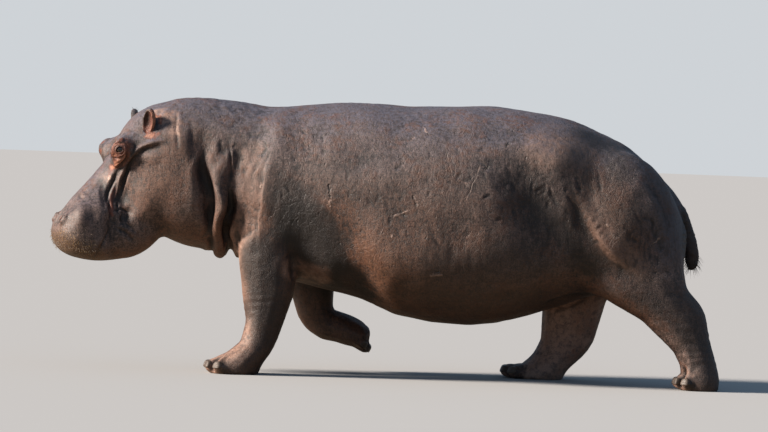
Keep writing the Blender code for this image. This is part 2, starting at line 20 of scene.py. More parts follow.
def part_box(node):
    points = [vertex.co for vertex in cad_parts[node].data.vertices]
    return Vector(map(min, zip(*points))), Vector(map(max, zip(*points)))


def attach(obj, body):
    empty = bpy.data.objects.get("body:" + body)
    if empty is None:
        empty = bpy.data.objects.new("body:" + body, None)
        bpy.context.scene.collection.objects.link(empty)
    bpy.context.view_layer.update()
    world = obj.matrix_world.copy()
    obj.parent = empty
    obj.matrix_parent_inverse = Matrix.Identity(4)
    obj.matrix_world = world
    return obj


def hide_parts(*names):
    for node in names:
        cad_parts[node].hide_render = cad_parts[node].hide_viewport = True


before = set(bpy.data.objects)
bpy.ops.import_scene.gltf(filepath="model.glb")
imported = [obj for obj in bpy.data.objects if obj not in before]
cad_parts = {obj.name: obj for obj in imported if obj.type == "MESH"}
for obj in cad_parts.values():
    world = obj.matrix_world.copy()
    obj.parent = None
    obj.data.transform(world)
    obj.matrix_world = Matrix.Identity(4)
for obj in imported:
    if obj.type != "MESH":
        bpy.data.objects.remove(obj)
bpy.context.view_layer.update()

# %% [markdown]
# ## Where things are
# Every place below is told in one of two ways.  On the flanks and legs it is
# a body place: metres along, across and up, counted from a fixed corner of
# the animal.  On the head it is a head place: along the face from the poll,
# out to the left, and up from the axis of the skull.  The head hangs
# steeply and turns a little to the animal's left.  The left eye is a solid of
# its own, so its middle fixes both systems.

# %% Axes of the head and the body
HEAD_PITCH = math.radians(52.5)
HEAD_YAW = math.radians(14.0)
AHEAD = Vector((
    -math.cos(HEAD_PITCH) * math.cos(HEAD_YAW),
    -math.cos(HEAD_PITCH) * math.sin(HEAD_YAW),
    -math.sin(HEAD_PITCH),
))
LEFT = Vector((math.sin(HEAD_YAW), -math.cos(HEAD_YAW), 0.0))
UP = AHEAD.cross(LEFT).normalized()
HEAD_WAYS = np.array([AHEAD, LEFT, UP])
EYE_PLACE = (0.236, 0.178, -0.020)
EYE_RADIUS = 0.027
POLL_PLACE = Vector((-1.310, -0.085, 1.353))


def middle_of(node):
    low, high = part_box(node)
    return (low + high) / 2


def along_head(along, left, up):
    return AHEAD * along + LEFT * left + UP * up


POLL = middle_of("eye_left") - along_head(*EYE_PLACE)
BODY = POLL - POLL_PLACE
print("poll at", tuple(round(v, 3) for v in POLL))


def on_head(along, left, up):
    return POLL + along_head(along, left, up)


def on_side(place, side):
    """A head place on one side: 1 is the animal's left, -1 its right."""
    return on_head(place[0], place[1] * side, place[2])


def on_body(x, y, z):
    return BODY + Vector((x, y, z))


# %% [markdown]
# ## Fusing the solids
# A voxel remesh wraps one closed net round all the solids of flesh.  It
# closes the thin cuts between them, which are far narrower than one cell.
# The eyes and nails join in for this step only, so that their sockets are
# filled; they come back later as pieces of their own.  Joining with Boolean
# unions would keep every flat face and every cut; the remesh forgets both.

# %% Fuse the flesh
CELL = 0.0055
FLESH = (
    "head", "neck", "trunk", "tail", "ear_left", "ear_right",
    "leg_front_left", "leg_front_right", "leg_hind_left", "leg_hind_right",
)
EYES = ("eye_left", "eye_right")
NAILS = sorted(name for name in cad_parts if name.startswith("nail_"))


def read_rows(items, label, width, kind=float):
    """One row of numbers for each point, edge, corner or face."""
    flat = np.empty(width * len(items), kind)
    items.foreach_get(label, flat)
    return flat.reshape(-1, width)


def points_of(mesh):
    return read_rows(mesh.vertices, "co", 3)


def edges_of(mesh):
    return read_rows(mesh.edges, "vertices", 2, np.int32)


def set_points(mesh, points):
    mesh.vertices.foreach_set("co", np.ascontiguousarray(points).ravel())
    mesh.update()


@contextmanager
def reshaped(mesh, *sources):
    """Open the sources, or the mesh itself, for editing; then write the mesh."""
    work = bmesh.new()
    for source in sources or (mesh,):
        work.from_mesh(source)
    work.verts.ensure_lookup_table()
    yield work
    work.to_mesh(mesh)
    work.free()


def add_piece(name, mesh):
    piece = bpy.data.objects.new(name, mesh)
    bpy.context.scene.collection.objects.link(piece)
    return piece


def settled(piece):
    """The piece's mesh with its modifiers worked in and taken off."""
    view = bpy.context.evaluated_depsgraph_get()
    mesh = bpy.data.meshes.new_from_object(piece.evaluated_get(view))
    piece.modifiers.clear()
    piece.data = mesh
    return piece


def fused(name, nodes, cell):
    """One closed net round the named solids."""
    mesh = bpy.data.meshes.new(name)
    with reshaped(mesh, *(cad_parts[node].data for node in nodes)) as work:
        bmesh.ops.remove_doubles(work, verts=work.verts[:], dist=1e-5)
    piece = add_piece(name, mesh)
    remesh = piece.modifiers.new("fuse", "REMESH")
    remesh.mode = "VOXEL"
    remesh.voxel_size = cell
    return settled(piece)


def keep_largest(piece):
    """Drop stray bubbles: keep the island of the net with the most points."""
    mesh = piece.data
    ends = edges_of(mesh)
    island = np.arange(len(mesh.vertices))
    while True:
        low = np.minimum(island[ends[:, 0]], island[ends[:, 1]])
        merged = island.copy()
        np.minimum.at(merged, ends[:, 0], low)
        np.minimum.at(merged, ends[:, 1], low)
        merged = merged[merged]
        if np.array_equal(merged, island):
            break
        island = merged
    stray = np.flatnonzero(island != np.bincount(island).argmax())
    if len(stray):
        with reshaped(mesh) as work:
            bmesh.ops.delete(work, geom=[work.verts[i] for i in stray], context="VERTS")
    return len(stray)


skin = fused("skin", (*FLESH, *EYES, *NAILS), CELL)
print("fused skin:", len(skin.data.vertices), "points, stray:", keep_largest(skin))

# %% [markdown]
# ## Finer where the face needs it
# Lids, nostrils and the corner of the mouth are only millimetres thick, so
# the net is split finer round them, once for the whole neighbourhood and
# once more close in.  Splitting everywhere would cost a million faces.


# %% Split the net near the small features
def split_near(mesh, places):
    """Split every face whose points all lie within reach of a place."""
    points = points_of(mesh)
    near = np.zeros(len(points), bool)
    for place, reach in places:
        near |= np.linalg.norm(points - np.array(place), axis=1) < reach
    with reshaped(mesh) as work:
        edges = [e for e in work.edges if near[e.verts[0].index] and near[e.verts[1].index]]
        bmesh.ops.subdivide_edges(work, edges=edges, cuts=1, use_grid_fill=True)


NOSTRIL_PLACE = (0.712, 0.100, -0.026)
SIDES = {"left": 1, "right": -1}


def head_pair(*place):
    return [on_side(place, side) for side in SIDES.values()]


close = [(place, 0.105) for place in head_pair(*EYE_PLACE)]
close += [(place, 0.060) for place in head_pair(*NOSTRIL_PLACE)]
close += [(place, 0.130) for place in head_pair(0.46, 0.18, -0.16)]
close += [(middle_of("ear_" + side), 0.12) for side in SIDES]
close += [(middle_of(node), 0.055) for node in NAILS]
split_near(skin.data, close)
closer = [(place, 0.050) for place in head_pair(*EYE_PLACE)]
closer += [(place, 0.034) for place in head_pair(*NOSTRIL_PLACE)]
split_near(skin.data, closer)
print("split skin:", len(skin.data.vertices), "points")

# %% [markdown]
# ## Smoothing by region
# The solids have flat faces a few centimetres across.  Evening out spreads
# each point towards its neighbours, and the number of rounds decides how
# wide the blur is.  A hippopotamus is smooth as a barrel on the trunk and
# full of small forms on the face and feet, so each region has its own blur,
# told as a width in metres.

# %% Even out the flat faces
BLUR_TRUNK = 0.026
BLUR_LEG = 0.013
BLUR_HEAD = 0.0080
BLUR_FOOT = 0.0050
BLUR_EAR = 0.0028
ROUNDS = 80
LIFTED_FOOT = on_body(-0.126, 0.290, 0.206)


def soft_step(value, low, high):
    """0 below low, 1 above high, smooth between; low may be the larger."""
    t = np.clip((value - low) / (high - low), 0.0, 1.0)
    return t * t * (3.0 - 2.0 * t)


def head_axes(points):
    return (points - np.array(POLL)) @ HEAD_WAYS.T


def body_axes(points):
    return points - np.array(BODY)


def distance_to(points, place):
    return np.linalg.norm(points - np.array(place), axis=1)


def near_place(points, place, outer, inner):
    """1 within the inner distance of a place, fading to 0 at the outer one."""
    return soft_step(distance_to(points, place), outer, inner)


def highest(*values):
    return np.maximum.reduce(values)


def by_tail(points, reach, root):
    """1 on the tail, fading at the reach from its middle, and only behind its root."""
    near = near_place(points, middle_of("tail"), reach, reach - 0.06)
    return near * (body_axes(points)[:, 0] > root)


def even_out(points, ends, rounds, pull):
    """Pull every point towards the mean of its neighbours, round by round."""
    count = len(points)
    share = np.bincount(ends.ravel(), minlength=count).astype(float)
    share[share == 0] = 1.0
    first, second = ends[:, 0], ends[:, 1]
    out = points.copy()
    for _ in range(rounds):
        for axis in range(3):
            line = out[:, axis]
            total = np.bincount(first, weights=line[second], minlength=count)
            total += np.bincount(second, weights=line[first], minlength=count)
            out[:, axis] = line + pull * (total / share - line)
    return out


def region_blur(points):
    """The blur width wanted at each point."""
    head = head_axes(points)
    body = body_axes(points)
    blur = np.full(len(points), BLUR_TRUNK)
    leg = soft_step(body[:, 2], 0.62, 0.40)
    blur += leg * (BLUR_LEG - blur)
    face = soft_step(head[:, 0], 0.02, 0.16) * (body[:, 0] < -1.0)
    blur += face * (BLUR_HEAD - blur)
    foot = highest(soft_step(body[:, 2], 0.16, 0.08), near_place(points, LIFTED_FOOT, 0.19, 0.12))
    blur += foot * (BLUR_FOOT - blur)
    for side in SIDES:
        ear = near_place(points, middle_of("ear_" + side), 0.11, 0.08)
        blur += ear * (BLUR_EAR - blur)
    blur += by_tail(points, 0.34, 1.62) * (BLUR_FOOT - blur)
    return blur


def edge_length(points, ends):
    """Mean length of the edges that meet at each point."""
    length = np.linalg.norm(points[ends[:, 0]] - points[ends[:, 1]], axis=1)
    total = np.bincount(ends[:, 0], weights=length, minlength=len(points))
    total += np.bincount(ends[:, 1], weights=length, minlength=len(points))
    return total / np.maximum(np.bincount(ends.ravel(), minlength=len(points)), 1)


ends = edges_of(skin.data)
points = points_of(skin.data)
spacing = edge_length(points, ends)
pull = np.clip(2.0 * region_blur(points) ** 2 / (ROUNDS * spacing**2), 0.0, 0.6)
points = even_out(points, ends, ROUNDS, pull)
set_points(skin.data, points)
print("evened out in", ROUNDS, "rounds; mean edge", round(float(spacing.mean()), 4))

# %% [markdown]
# ## A sculptor's strokes
# A fold is a line with a cross-section.  Each stroke below names its line on
# the flank or on the face, its half width, and how far it lifts or presses
# the skin along the skin's own normal.  A groove gets a raised lip on both
# sides, because pushed skin has to go somewhere; a fold is uneven, with a
# long slope before its crest and a short drop behind it.  Strokes fade at
# both ends and waver a little, as real creases do.


# %% Strokes along a line
def waver(points, size, seed, terms=10):
    """A smooth wandering value of about unit spread, with waves of the size."""
    rng = np.random.default_rng(seed)
    total = np.zeros(len(points))
    for _ in range(terms):
        way = rng.normal(size=3)
        way *= 2.0 * np.pi / (size * np.linalg.norm(way)) * rng.uniform(0.7, 1.4)
        total += np.sin(points @ way + rng.uniform(0.0, 2.0 * np.pi))
    return total / math.sqrt(terms / 2.0)


def rounded(path, steps=6):
    """The line through the path's points with its corners rounded off."""
    rows = np.array(path, float)
    padded = np.vstack([2 * rows[0] - rows[1], rows, 2 * rows[-1] - rows[-2]])
    out = []
    for i in range(len(rows) - 1):
        before, start, end, after = padded[i : i + 4]
        for k in range(steps):
            t = k / steps
            bend = (2 * before - 5 * start + 4 * end - after) * t**2
            swing = (3 * start - before - 3 * end + after) * t**3
            out.append(0.5 * (2 * start + (end - before) * t + bend + swing))
    out.append(rows[-1])
    return np.array(out)


def measure_line(flat, path):
    """Distance, signed distance to the right of the line, and share along it."""
    line = rounded(path)
    steps = np.linalg.norm(np.diff(line, axis=0), axis=1)
    run = np.concatenate([[0.0], np.cumsum(steps)])
    best = np.full(len(flat), np.inf)
    signed = np.zeros(len(flat))
    share = np.zeros(len(flat))
    for i, length in enumerate(steps):
        way = (line[i + 1] - line[i]) / length
        offset = flat - line[i]
        t = np.clip(offset @ way, 0.0, length)
        gap = offset - t[:, None] * way
        distance = np.linalg.norm(gap, axis=1)
        closer_here = distance < best
        best = np.where(closer_here, distance, best)
        turn = way[0] * offset[:, 1] - way[1] * offset[:, 0]
        signed = np.where(closer_here, -np.sign(turn) * distance, signed)
        share = np.where(closer_here, (run[i] + t) / run[-1], share)
    return best, signed, share


def bell(distance, width):
    return np.exp(-((distance / width) ** 2))


def groove_shape(distance, signed, width):
    return -bell(distance, width) + 0.30 * bell(np.abs(signed) - 2.1 * width, 1.1 * width)


def ridge_shape(distance, signed, width):
    return bell(distance, width) - 0.22 * bell(np.abs(signed) - 2.1 * width, 1.0 * width)


def fold_shape(distance, signed, width):
    """A crest with its short drop on the right of the line."""
    slope = np.where(signed < 0, bell(distance, 1.6 * width), bell(distance, 0.6 * width))
    return slope - 0.9 * bell(signed - 1.25 * width, 0.6 * width) * (distance < 4 * width)


def step_shape(distance, signed, width):
    """Raised on the right of the line, with a short drop to its left."""
    right = soft_step(signed, -0.5 * width, 0.6 * width)
    drop = bell(signed + 0.9 * width, 0.9 * width) * (distance < 4 * width)
    return right * bell(distance, 3.2 * width) - 0.55 * (1.0 - right) * drop


SHAPES = {
    "groove": groove_shape, "ridge": ridge_shape, "fold": fold_shape, "step": step_shape,
}
print("cross-sections:", list(SHAPES))

# %% [markdown]
# ## The clay
# The clay holds the skin's points and normals, in body and head places, and
# a push along the normal for each point.  Pushes are gathered first and
# worked in together, so that strokes of one kind don't disturb each other.
# A stroke is drawn on a flat view of the animal: its flank, its face, its
# brow from above, its underside, or the plane of one eye.


# %% Clay and strokes
class Clay:
    """The skin's points while they are being worked."""

    def __init__(self, mesh):
        self.mesh = mesh
        self.refresh()

    def refresh(self):
        self.points = points_of(self.mesh)
        self.normals = read_rows(self.mesh.vertices, "normal", 3)
        self.head = head_axes(self.points)
        self.body = body_axes(self.points)
        self.head_normals = self.normals @ HEAD_WAYS.T
        self.push = np.zeros(len(self.points))

    def settle(self):
        """Move the points by all pushes gathered so far."""
        points = self.points + self.normals * self.push[:, None]
        points[:, 2] = np.maximum(points[:, 2], 0.0)
        set_points(self.mesh, points)
        self.refresh()

    def move(self, chosen, lengths, way):
        """Shift the chosen points by their own lengths along one way."""
        self.points[chosen] += lengths[:, None] * np.array(way)
        set_points(self.mesh, self.points)
        self.refresh()

    def plane(self, name, side):
        """Flat places and how squarely each point faces that way."""
        if name == "flank":
            return self.body[:, [0, 2]], -side * self.normals[:, 1]
        if name == "face":
            near = self.body[:, 0] < -0.95
            return self.head[:, [0, 2]], side * self.head_normals[:, 1] * near
        if name == "brow":
            near = self.body[:, 0] < -0.95
            flat = self.head[:, [0, 1]] * np.array([1.0, side])
            return flat, self.head_normals[:, 2] * near
        if name == "below":
            return self.body[:, [0, 1]], -self.normals[:, 2]
        if name == "eye":
            mirror = np.array([1.0, side, 1.0])
            away = (self.head * mirror - np.array(EYE_PLACE)) @ HEAD_WAYS
            look = np.array([0.22, 0.95 * side, 0.22])
            near = np.linalg.norm(away, axis=1) < 0.20
            return away[:, [0, 2]] * np.array([-1.0, 1.0]), (self.head_normals @ look) * near
        raise ValueError(name)

    def stroke(self, shape, plane, path, width, depth, side=0, fade=0.38, seed=1):
        """Press or lift the skin along a line; side 0 works both sides."""
        for one in (1, -1) if side == 0 else (side,):
            flat, facing = self.plane(plane, one)
            low = np.min(path, axis=0) - 8 * width
            high = np.max(path, axis=0) + 8 * width
            inside = np.all((flat > low) & (flat < high), axis=1) & (facing > 0.02)
            chosen = np.flatnonzero(inside)
            if not len(chosen):
                continue
            places = flat[chosen].copy()
            places[:, 0] += 0.35 * width * waver(self.points[chosen], 9 * width, seed)
            distance, signed, share = measure_line(places, path)
            ends_fade = soft_step(share, -0.02, fade) * soft_step(share, 1.02, 1.0 - fade)
            weight = np.clip(facing[chosen] * 2.2, 0.0, 1.0) * ends_fade
            broad = width * (0.6 + 0.4 * ends_fade)
            self.push[chosen] += depth * weight * SHAPES[shape](distance, signed, broad)


def carve(plane, table, seed, **how):
    """Work all strokes of a table into the skin, each with a seed of its own."""
    for number, (shape, path, width, depth) in enumerate(table):
        clay.stroke(shape, plane, path, width, depth, seed=seed + number, **how)
    clay.settle()
    print(len(table), "strokes on the", plane, "plane")


clay = Clay(skin.data)
print("clay of", len(clay.points), "points")

# %% [markdown]
# ## Broad swells
# Before any crease, the belly is filled out behind the elbow, the armpit
# and the flank are hollowed, the hip is rounded, the lifted foot is made
# fuller, and a slow waviness takes away the look of a turned form.

# %% Swells
FOOT_SWELL = 0.012
WAVINESS = 0.0022
SWELLS = (
    # middle (x, z) on the flank, half reach along and up, height
    (0.120, 0.600, 0.360, 0.200, 0.026),
    (-0.400, 0.660, 0.120, 0.180, -0.022),
    (0.985, 1.190, 0.150, 0.130, 0.022),
    (0.800, 0.920, 0.200, 0.150, -0.010),
)
clay.push += WAVINESS * waver(clay.points, 0.26, 5) * soft_step(clay.body[:, 2], 0.35, 0.6)
for x, z, reach_x, reach_z, height in SWELLS:
    away = np.hypot((clay.body[:, 0] - x) / reach_x, (clay.body[:, 2] - z) / reach_z)
    clay.push += height * bell(away, 0.8) * np.clip(np.abs(clay.normals[:, 1]) * 2.0, 0.0, 1.0)
lifted_foot = distance_to(clay.points, on_body(-0.150, 0.290, 0.245))
clay.push += FOOT_SWELL * bell(lifted_foot, 0.085)
clay.settle()
print("swells:", len(SWELLS) + 1)

# %% [markdown]
# ## Folds of the neck, flank and rump
# The jowl ends in a broad dark fold, the hanging dewlap is a narrow roll
# behind it, and a second fold parts the roll from the shoulder.  The skin
# is slack where the legs swing: ahead of the shoulder, in the armpit, over
# the stifle and in the flank.

# %% Body strokes
BODY_STROKES = (
    # shape, line (x, z), half width, depth
    ("groove", ((-0.925, 1.200), (-0.928, 1.056), (-0.918, 0.828), (-0.903, 0.660)), 0.032, 0.032),
    ("ridge", ((-0.890, 1.090), (-0.870, 0.980), (-0.862, 0.840), (-0.862, 0.600)), 0.022, 0.018),
    ("groove", ((-0.780, 0.985), (-0.797, 0.890), (-0.814, 0.770), (-0.820, 0.620)), 0.018, 0.036),
    ("ridge", ((-0.800, 1.200), (-0.810, 1.110), (-0.812, 1.020)), 0.034, 0.016),
    ("groove", ((-0.867, 1.230), (-0.864, 1.160)), 0.010, 0.0025),
    ("fold", ((-1.086, 1.400), (-1.080, 1.270), (-1.066, 1.130)), 0.014, 0.004),
    ("groove", ((-1.030, 1.370), (-1.010, 1.210), (-1.004, 1.060)), 0.018, 0.004),
    ("step", ((-0.795, 0.980), (-0.798, 1.080), (-0.806, 1.190), (-0.800, 1.260)), 0.012, 0.007),
    ("step", ((-0.652, 0.640), (-0.645, 0.760), (-0.637, 0.880), (-0.628, 0.990), (-0.607, 1.122),
              (-0.586, 1.230)), 0.012, 0.006),
    ("groove", ((-0.760, 0.680), (-0.706, 0.725), (-0.650, 0.780)), 0.018, 0.006),
    ("groove", ((-0.720, 0.620), (-0.640, 0.640), (-0.560, 0.650)), 0.020, 0.0025),
    ("groove", ((-0.470, 0.700), (-0.440, 0.600), (-0.430, 0.470)), 0.034, 0.018),
    ("groove", ((-0.330, 0.880), (-0.270, 0.780), (-0.180, 0.660), (-0.105, 0.540), (-0.060, 0.430),
                (-0.010, 0.330)), 0.085, 0.030),
    ("step", ((1.400, 0.580), (1.348, 0.600), (1.260, 0.645), (1.183, 0.701), (1.133, 0.771),
              (1.110, 0.870), (1.083, 0.970), (1.050, 1.060)), 0.050, 0.019),
    ("groove", ((1.139, 1.140), (1.146, 1.060), (1.151, 0.990)), 0.010, 0.003),
    ("ridge", ((1.340, 1.090), (1.400, 1.010), (1.462, 0.910), (1.505, 0.800), (1.531, 0.710)),
     0.022, 0.005),
    ("groove", ((1.390, 1.110), (1.450, 1.010), (1.505, 0.910), (1.548, 0.800)), 0.020, 0.006),
    ("groove", ((0.880, 1.060), (0.905, 0.980), (0.950, 0.930)), 0.009, 0.003),
    ("groove", ((0.960, 1.010), (1.010, 0.960), (1.020, 0.900)), 0.008, 0.003),
    ("groove", ((1.000, 1.120), (1.040, 1.040), (1.050, 0.990)), 0.009, 0.003),
    ("groove", ((0.840, 0.400), (0.960, 0.440), (1.070, 0.470), (1.140, 0.465)), 0.013, 0.014),
    ("ridge", ((0.830, 0.360), (0.960, 0.395), (1.070, 0.430), (1.140, 0.450)), 0.018, 0.012),
    ("groove", ((1.560, 0.640), (1.500, 0.610), (1.430, 0.610)), 0.018, 0.003),
    ("groove", ((1.640, 0.480), (1.560, 0.500), (1.480, 0.490)), 0.020, 0.002),
    ("groove", ((0.300, 0.870), (0.390, 0.885), (0.480, 0.870)), 0.007, 0.0009),
    ("groove", ((0.330, 0.850), (0.420, 0.862), (0.500, 0.848)), 0.006, 0.0007),
)
THROAT_STROKES = (
    # shape, line (x, y), half width, depth
    ("groove", ((-0.803, -0.300), (-0.800, 0.000), (-0.803, 0.300)), 0.017, 0.030),
    ("groove", ((-0.893, -0.300), (-0.893, 0.000), (-0.893, 0.300)), 0.014, 0.012),
)
carve("below", THROAT_STROKES, 50, side=1, fade=0.12)
carve("flank", BODY_STROKES, 20)


def scatter_creases(middle, reach, count, length, depth, seed):
    """Short bowed creases at random over an oval of the flank."""
    rng = np.random.default_rng(seed)
    for number in range(count):
        turn, far = rng.uniform(0.0, 2.0 * np.pi), math.sqrt(rng.uniform())
        place = np.array(middle) + np.array(reach) * far * np.array([math.cos(turn), math.sin(turn)])
        lean = rng.normal(0.0, 0.6)
        way = 0.5 * length * rng.uniform(0.5, 1.5) * np.array([math.sin(lean), math.cos(lean)])
        bow = np.array([way[1], -way[0]]) * rng.uniform(-0.4, 0.4)
        path = (tuple(place - way), tuple(place + bow), tuple(place + way))
        clay.stroke("groove", "flank", path, 0.0085, depth * rng.uniform(0.5, 1.3), seed=seed + number)


CREASED = (
    # middle (x, z), half reach, how many, length, depth
    ((0.930, 1.030), (0.160, 0.130), 14, 0.075, 0.0024),
    ((1.230, 0.830), (0.120, 0.150), 14, 0.050, 0.0020),
    ((1.450, 0.800), (0.130, 0.200), 10, 0.090, 0.0022),
    ((-0.690, 1.080), (0.120, 0.220), 12, 0.080, 0.0020),
    ((0.250, 1.000), (0.480, 0.280), 30, 0.045, 0.0026),
    ((-0.350, 1.050), (0.200, 0.280), 10, 0.055, 0.0026),
)
for number, patch in enumerate(CREASED):
    scatter_creases(*patch, seed=300 + 40 * number)
clay.settle()
print("creases:", sum(row[2] for row in CREASED))

# %% [markdown]
# ## Folds of the face
# The cheek arch runs back from the eye to the ear.  From behind the eye two
# folds with a thin crest between them run down to the corner of the mouth,
# where they break up into short creases.  The whisker pads swell on either
# side of the broad muzzle, and the closed mouth is a line under them.

# %% Head strokes
HEAD_STROKES = (
    ("ridge", ((0.038, -0.172), (0.079, -0.142), (0.128, -0.111), (0.167, -0.094), (0.205, -0.088),
               (0.249, -0.094), (0.290, -0.104)), 0.014, 0.015),
    ("ridge", ((0.250, -0.110), (0.200, -0.130), (0.160, -0.170), (0.130, -0.220)), 0.030, 0.006),
    ("ridge", ((0.205, -0.080), (0.272, -0.098), (0.330, -0.118), (0.390, -0.145), (0.460, -0.176)),
     0.009, 0.010),
    ("groove", ((0.228, -0.100), (0.312, -0.134), (0.371, -0.158), (0.432, -0.196)), 0.008, 0.009),
    ("groove", ((0.300, -0.080), (0.350, -0.096), (0.406, -0.112), (0.456, -0.126), (0.512, -0.160)),
     0.009, 0.011),
    ("groove", ((0.465, -0.147), (0.514, -0.172), (0.533, -0.198), (0.573, -0.224)), 0.007, 0.010),
    ("groove", ((0.448, -0.190), (0.492, -0.214), (0.505, -0.246)), 0.006, 0.006),
    ("groove", ((0.470, -0.240), (0.520, -0.262), (0.545, -0.300)), 0.007, 0.005),
    ("groove", ((0.500, -0.200), (0.470, -0.232), (0.462, -0.275)), 0.007, 0.006),
    ("groove", ((0.565, -0.250), (0.560, -0.320), (0.572, -0.400)), 0.011, 0.005),
    ("groove", ((0.530, -0.255), (0.515, -0.330), (0.520, -0.400)), 0.010, 0.004),
    ("step", ((0.860, -0.280), (0.806, -0.275), (0.730, -0.262), (0.658, -0.245), (0.590, -0.230)),
     0.013, 0.010),
    ("groove", ((0.860, -0.288), (0.806, -0.283), (0.730, -0.270), (0.658, -0.253), (0.575, -0.230)),
     0.005, 0.0025),
    ("ridge", ((0.545, -0.030), (0.600, -0.050), (0.650, -0.076), (0.700, -0.128)), 0.028, 0.010),
    ("groove", ((0.540, -0.070), (0.590, -0.112), (0.640, -0.152), (0.690, -0.190)), 0.032, 0.006),
    ("groove", ((0.452, -0.243), (0.489, -0.268), (0.529, -0.290)), 0.022, 0.009),
    ("ridge", ((0.440, -0.060), (0.500, -0.100), (0.550, -0.130)), 0.018, 0.006),
    ("groove", ((0.320, 0.000), (0.350, -0.040), (0.400, -0.070)), 0.014, 0.004),
)
carve("face", HEAD_STROKES, 60)

# %% [markdown]
# ## Eyelids
# A hippopotamus has small eyes set in thick ringed lids on top of a bony
# mound.  The eyeball is a ball of its own.  The skin near it is read as a
# height over the eye's own plane.  It first swells to a mound as high as the
# ball, then takes the folds: a deep crease behind and below, a thick pouch
# under the lower lid and small folds at the front corner.  Last, the almond
# opening drops behind the ball and its rim stands a lid's thickness proud.

# %% Shape the lids
LID_THICKNESS = 0.0060
OPENING = (0.0180, 0.0150)
LID_REACH = 0.088


def eye_frame(side):
    """The eye's middle, the way it looks, along its slit and up across it."""
    middle = on_side(EYE_PLACE, side)
    gaze = (LEFT * (0.95 * side) + AHEAD * 0.22 + UP * 0.22).normalized()
    level = Vector((AHEAD.x, AHEAD.y, 0.0)).normalized()
    slit = (AHEAD * 0.45 + level * 0.55).normalized()
    slit = (slit - gaze * slit.dot(gaze)).normalized()
    lift = slit.cross(gaze) * side
    if lift.z < 0:
        lift = -lift
    return middle, gaze, slit, lift


def eye_places(side):
    """Where the skin near one eye lies, read over the eye's own plane."""
    middle, gaze, slit, lift = eye_frame(side)
    away = clay.points - np.array(middle)
    along, across, height = (away @ np.array(way) for way in (slit, lift, gaze))
    spread = np.hypot(along, across)
    chosen = np.flatnonzero((spread < LID_REACH) & (height > -0.035))
    return chosen, along[chosen], across[chosen], height[chosen], spread[chosen]


def raise_mound(side):
    """The lids' swelling, from the ball's front down to the cheek."""
    chosen, along, across, height, spread = eye_places(side)
    shell = EYE_RADIUS + LID_THICKNESS
    swell = shell - 0.002 - 0.026 * (spread / 0.060) ** 1.6
    swell += soft_step(spread, 0.040, LID_REACH) * (height - swell)
    outer = np.maximum(swell, height * soft_step(spread, 0.040, 0.060))
    clay.move(chosen, outer - height, eye_frame(side)[1])


EYE_STROKES = (
    # shape, line (ahead, up) from the middle of the eye, half width, depth
    ("groove", ((-0.018, 0.044), (-0.034, 0.028), (-0.044, -0.003), (-0.041, -0.032),
                (-0.028, -0.059), (-0.008, -0.077), (0.014, -0.094), (0.030, -0.112)), 0.0065, 0.009),
    ("groove", ((0.050, 0.004), (0.055, -0.016), (0.048, -0.044), (0.041, -0.062)), 0.0060, 0.007),
    ("ridge", ((-0.022, -0.048), (0.004, -0.064), (0.028, -0.082), (0.042, -0.098)), 0.0160, 0.010),
    ("groove", ((0.036, -0.038), (0.022, -0.045), (0.006, -0.047), (-0.012, -0.040), (-0.027, -0.022)),
     0.0036, 0.006),
    ("ridge", ((0.010, -0.031), (-0.006, -0.030), (-0.019, -0.020), (-0.025, -0.006)), 0.0052, 0.003),
    ("ridge", ((0.024, 0.026), (0.034, 0.012), (0.034, -0.006), (0.027, -0.020)), 0.0055, 0.0015),
    ("groove", ((0.044, 0.028), (0.0495, 0.008), (0.048, -0.014)), 0.0046, 0.0030),
    ("groove", ((0.034, 0.024), (0.016, 0.032), (-0.006, 0.034), (-0.024, 0.026), (-0.033, 0.010)),
     0.0050, 0.0030),
    ("ridge", ((0.036, 0.044), (0.006, 0.056), (-0.024, 0.052)), 0.0130, 0.006),
    ("groove", ((-0.008, -0.054), (0.012, -0.066), (0.032, -0.082)), 0.0028, 0.0022),
    ("groove", ((-0.016, -0.060), (0.000, -0.072), (0.018, -0.086)), 0.0026, 0.0018),
    ("groove", ((-0.050, 0.030), (-0.058, 0.002), (-0.054, -0.030)), 0.0050, 0.003),
)


def open_lids(side):
    """Cut the opening and round its rim over the ball."""
    chosen, along, across, height, spread = eye_places(side)
    shell = EYE_RADIUS + LID_THICKNESS
    dome = shell * np.sqrt(1.0 - np.minimum(spread / shell, 0.90) ** 2)
    mixed = dome + soft_step(spread, 0.021, 0.030) * (height - dome)
    wander = waver(clay.points[chosen], 0.022, 33)
    edge = np.hypot(along / OPENING[0], (across - 0.001) / OPENING[1]) + 0.03 * wander
    mixed += 0.0008 * bell(edge - 1.30, 0.22)
    hidden = np.sqrt(np.maximum(EYE_RADIUS**2 - spread**2, 0.0)) - 0.007
    mixed = hidden + soft_step(edge, 0.94, 1.10) * (mixed - hidden)
    clay.move(chosen, mixed - height, eye_frame(side)[1])


for side in SIDES.values():
    raise_mound(side)
carve("eye", EYE_STROKES, 110, fade=0.30)
for side in SIDES.values():
    open_lids(side)
print("lids shaped round both eyes")

# %% [markdown]
# ## Nostrils
# The nostrils sit on top of the muzzle, so that the animal breathes while
# the rest of it is under water.  Each is a slanting slit that closes like a
# valve, in a raised fleshy rim.

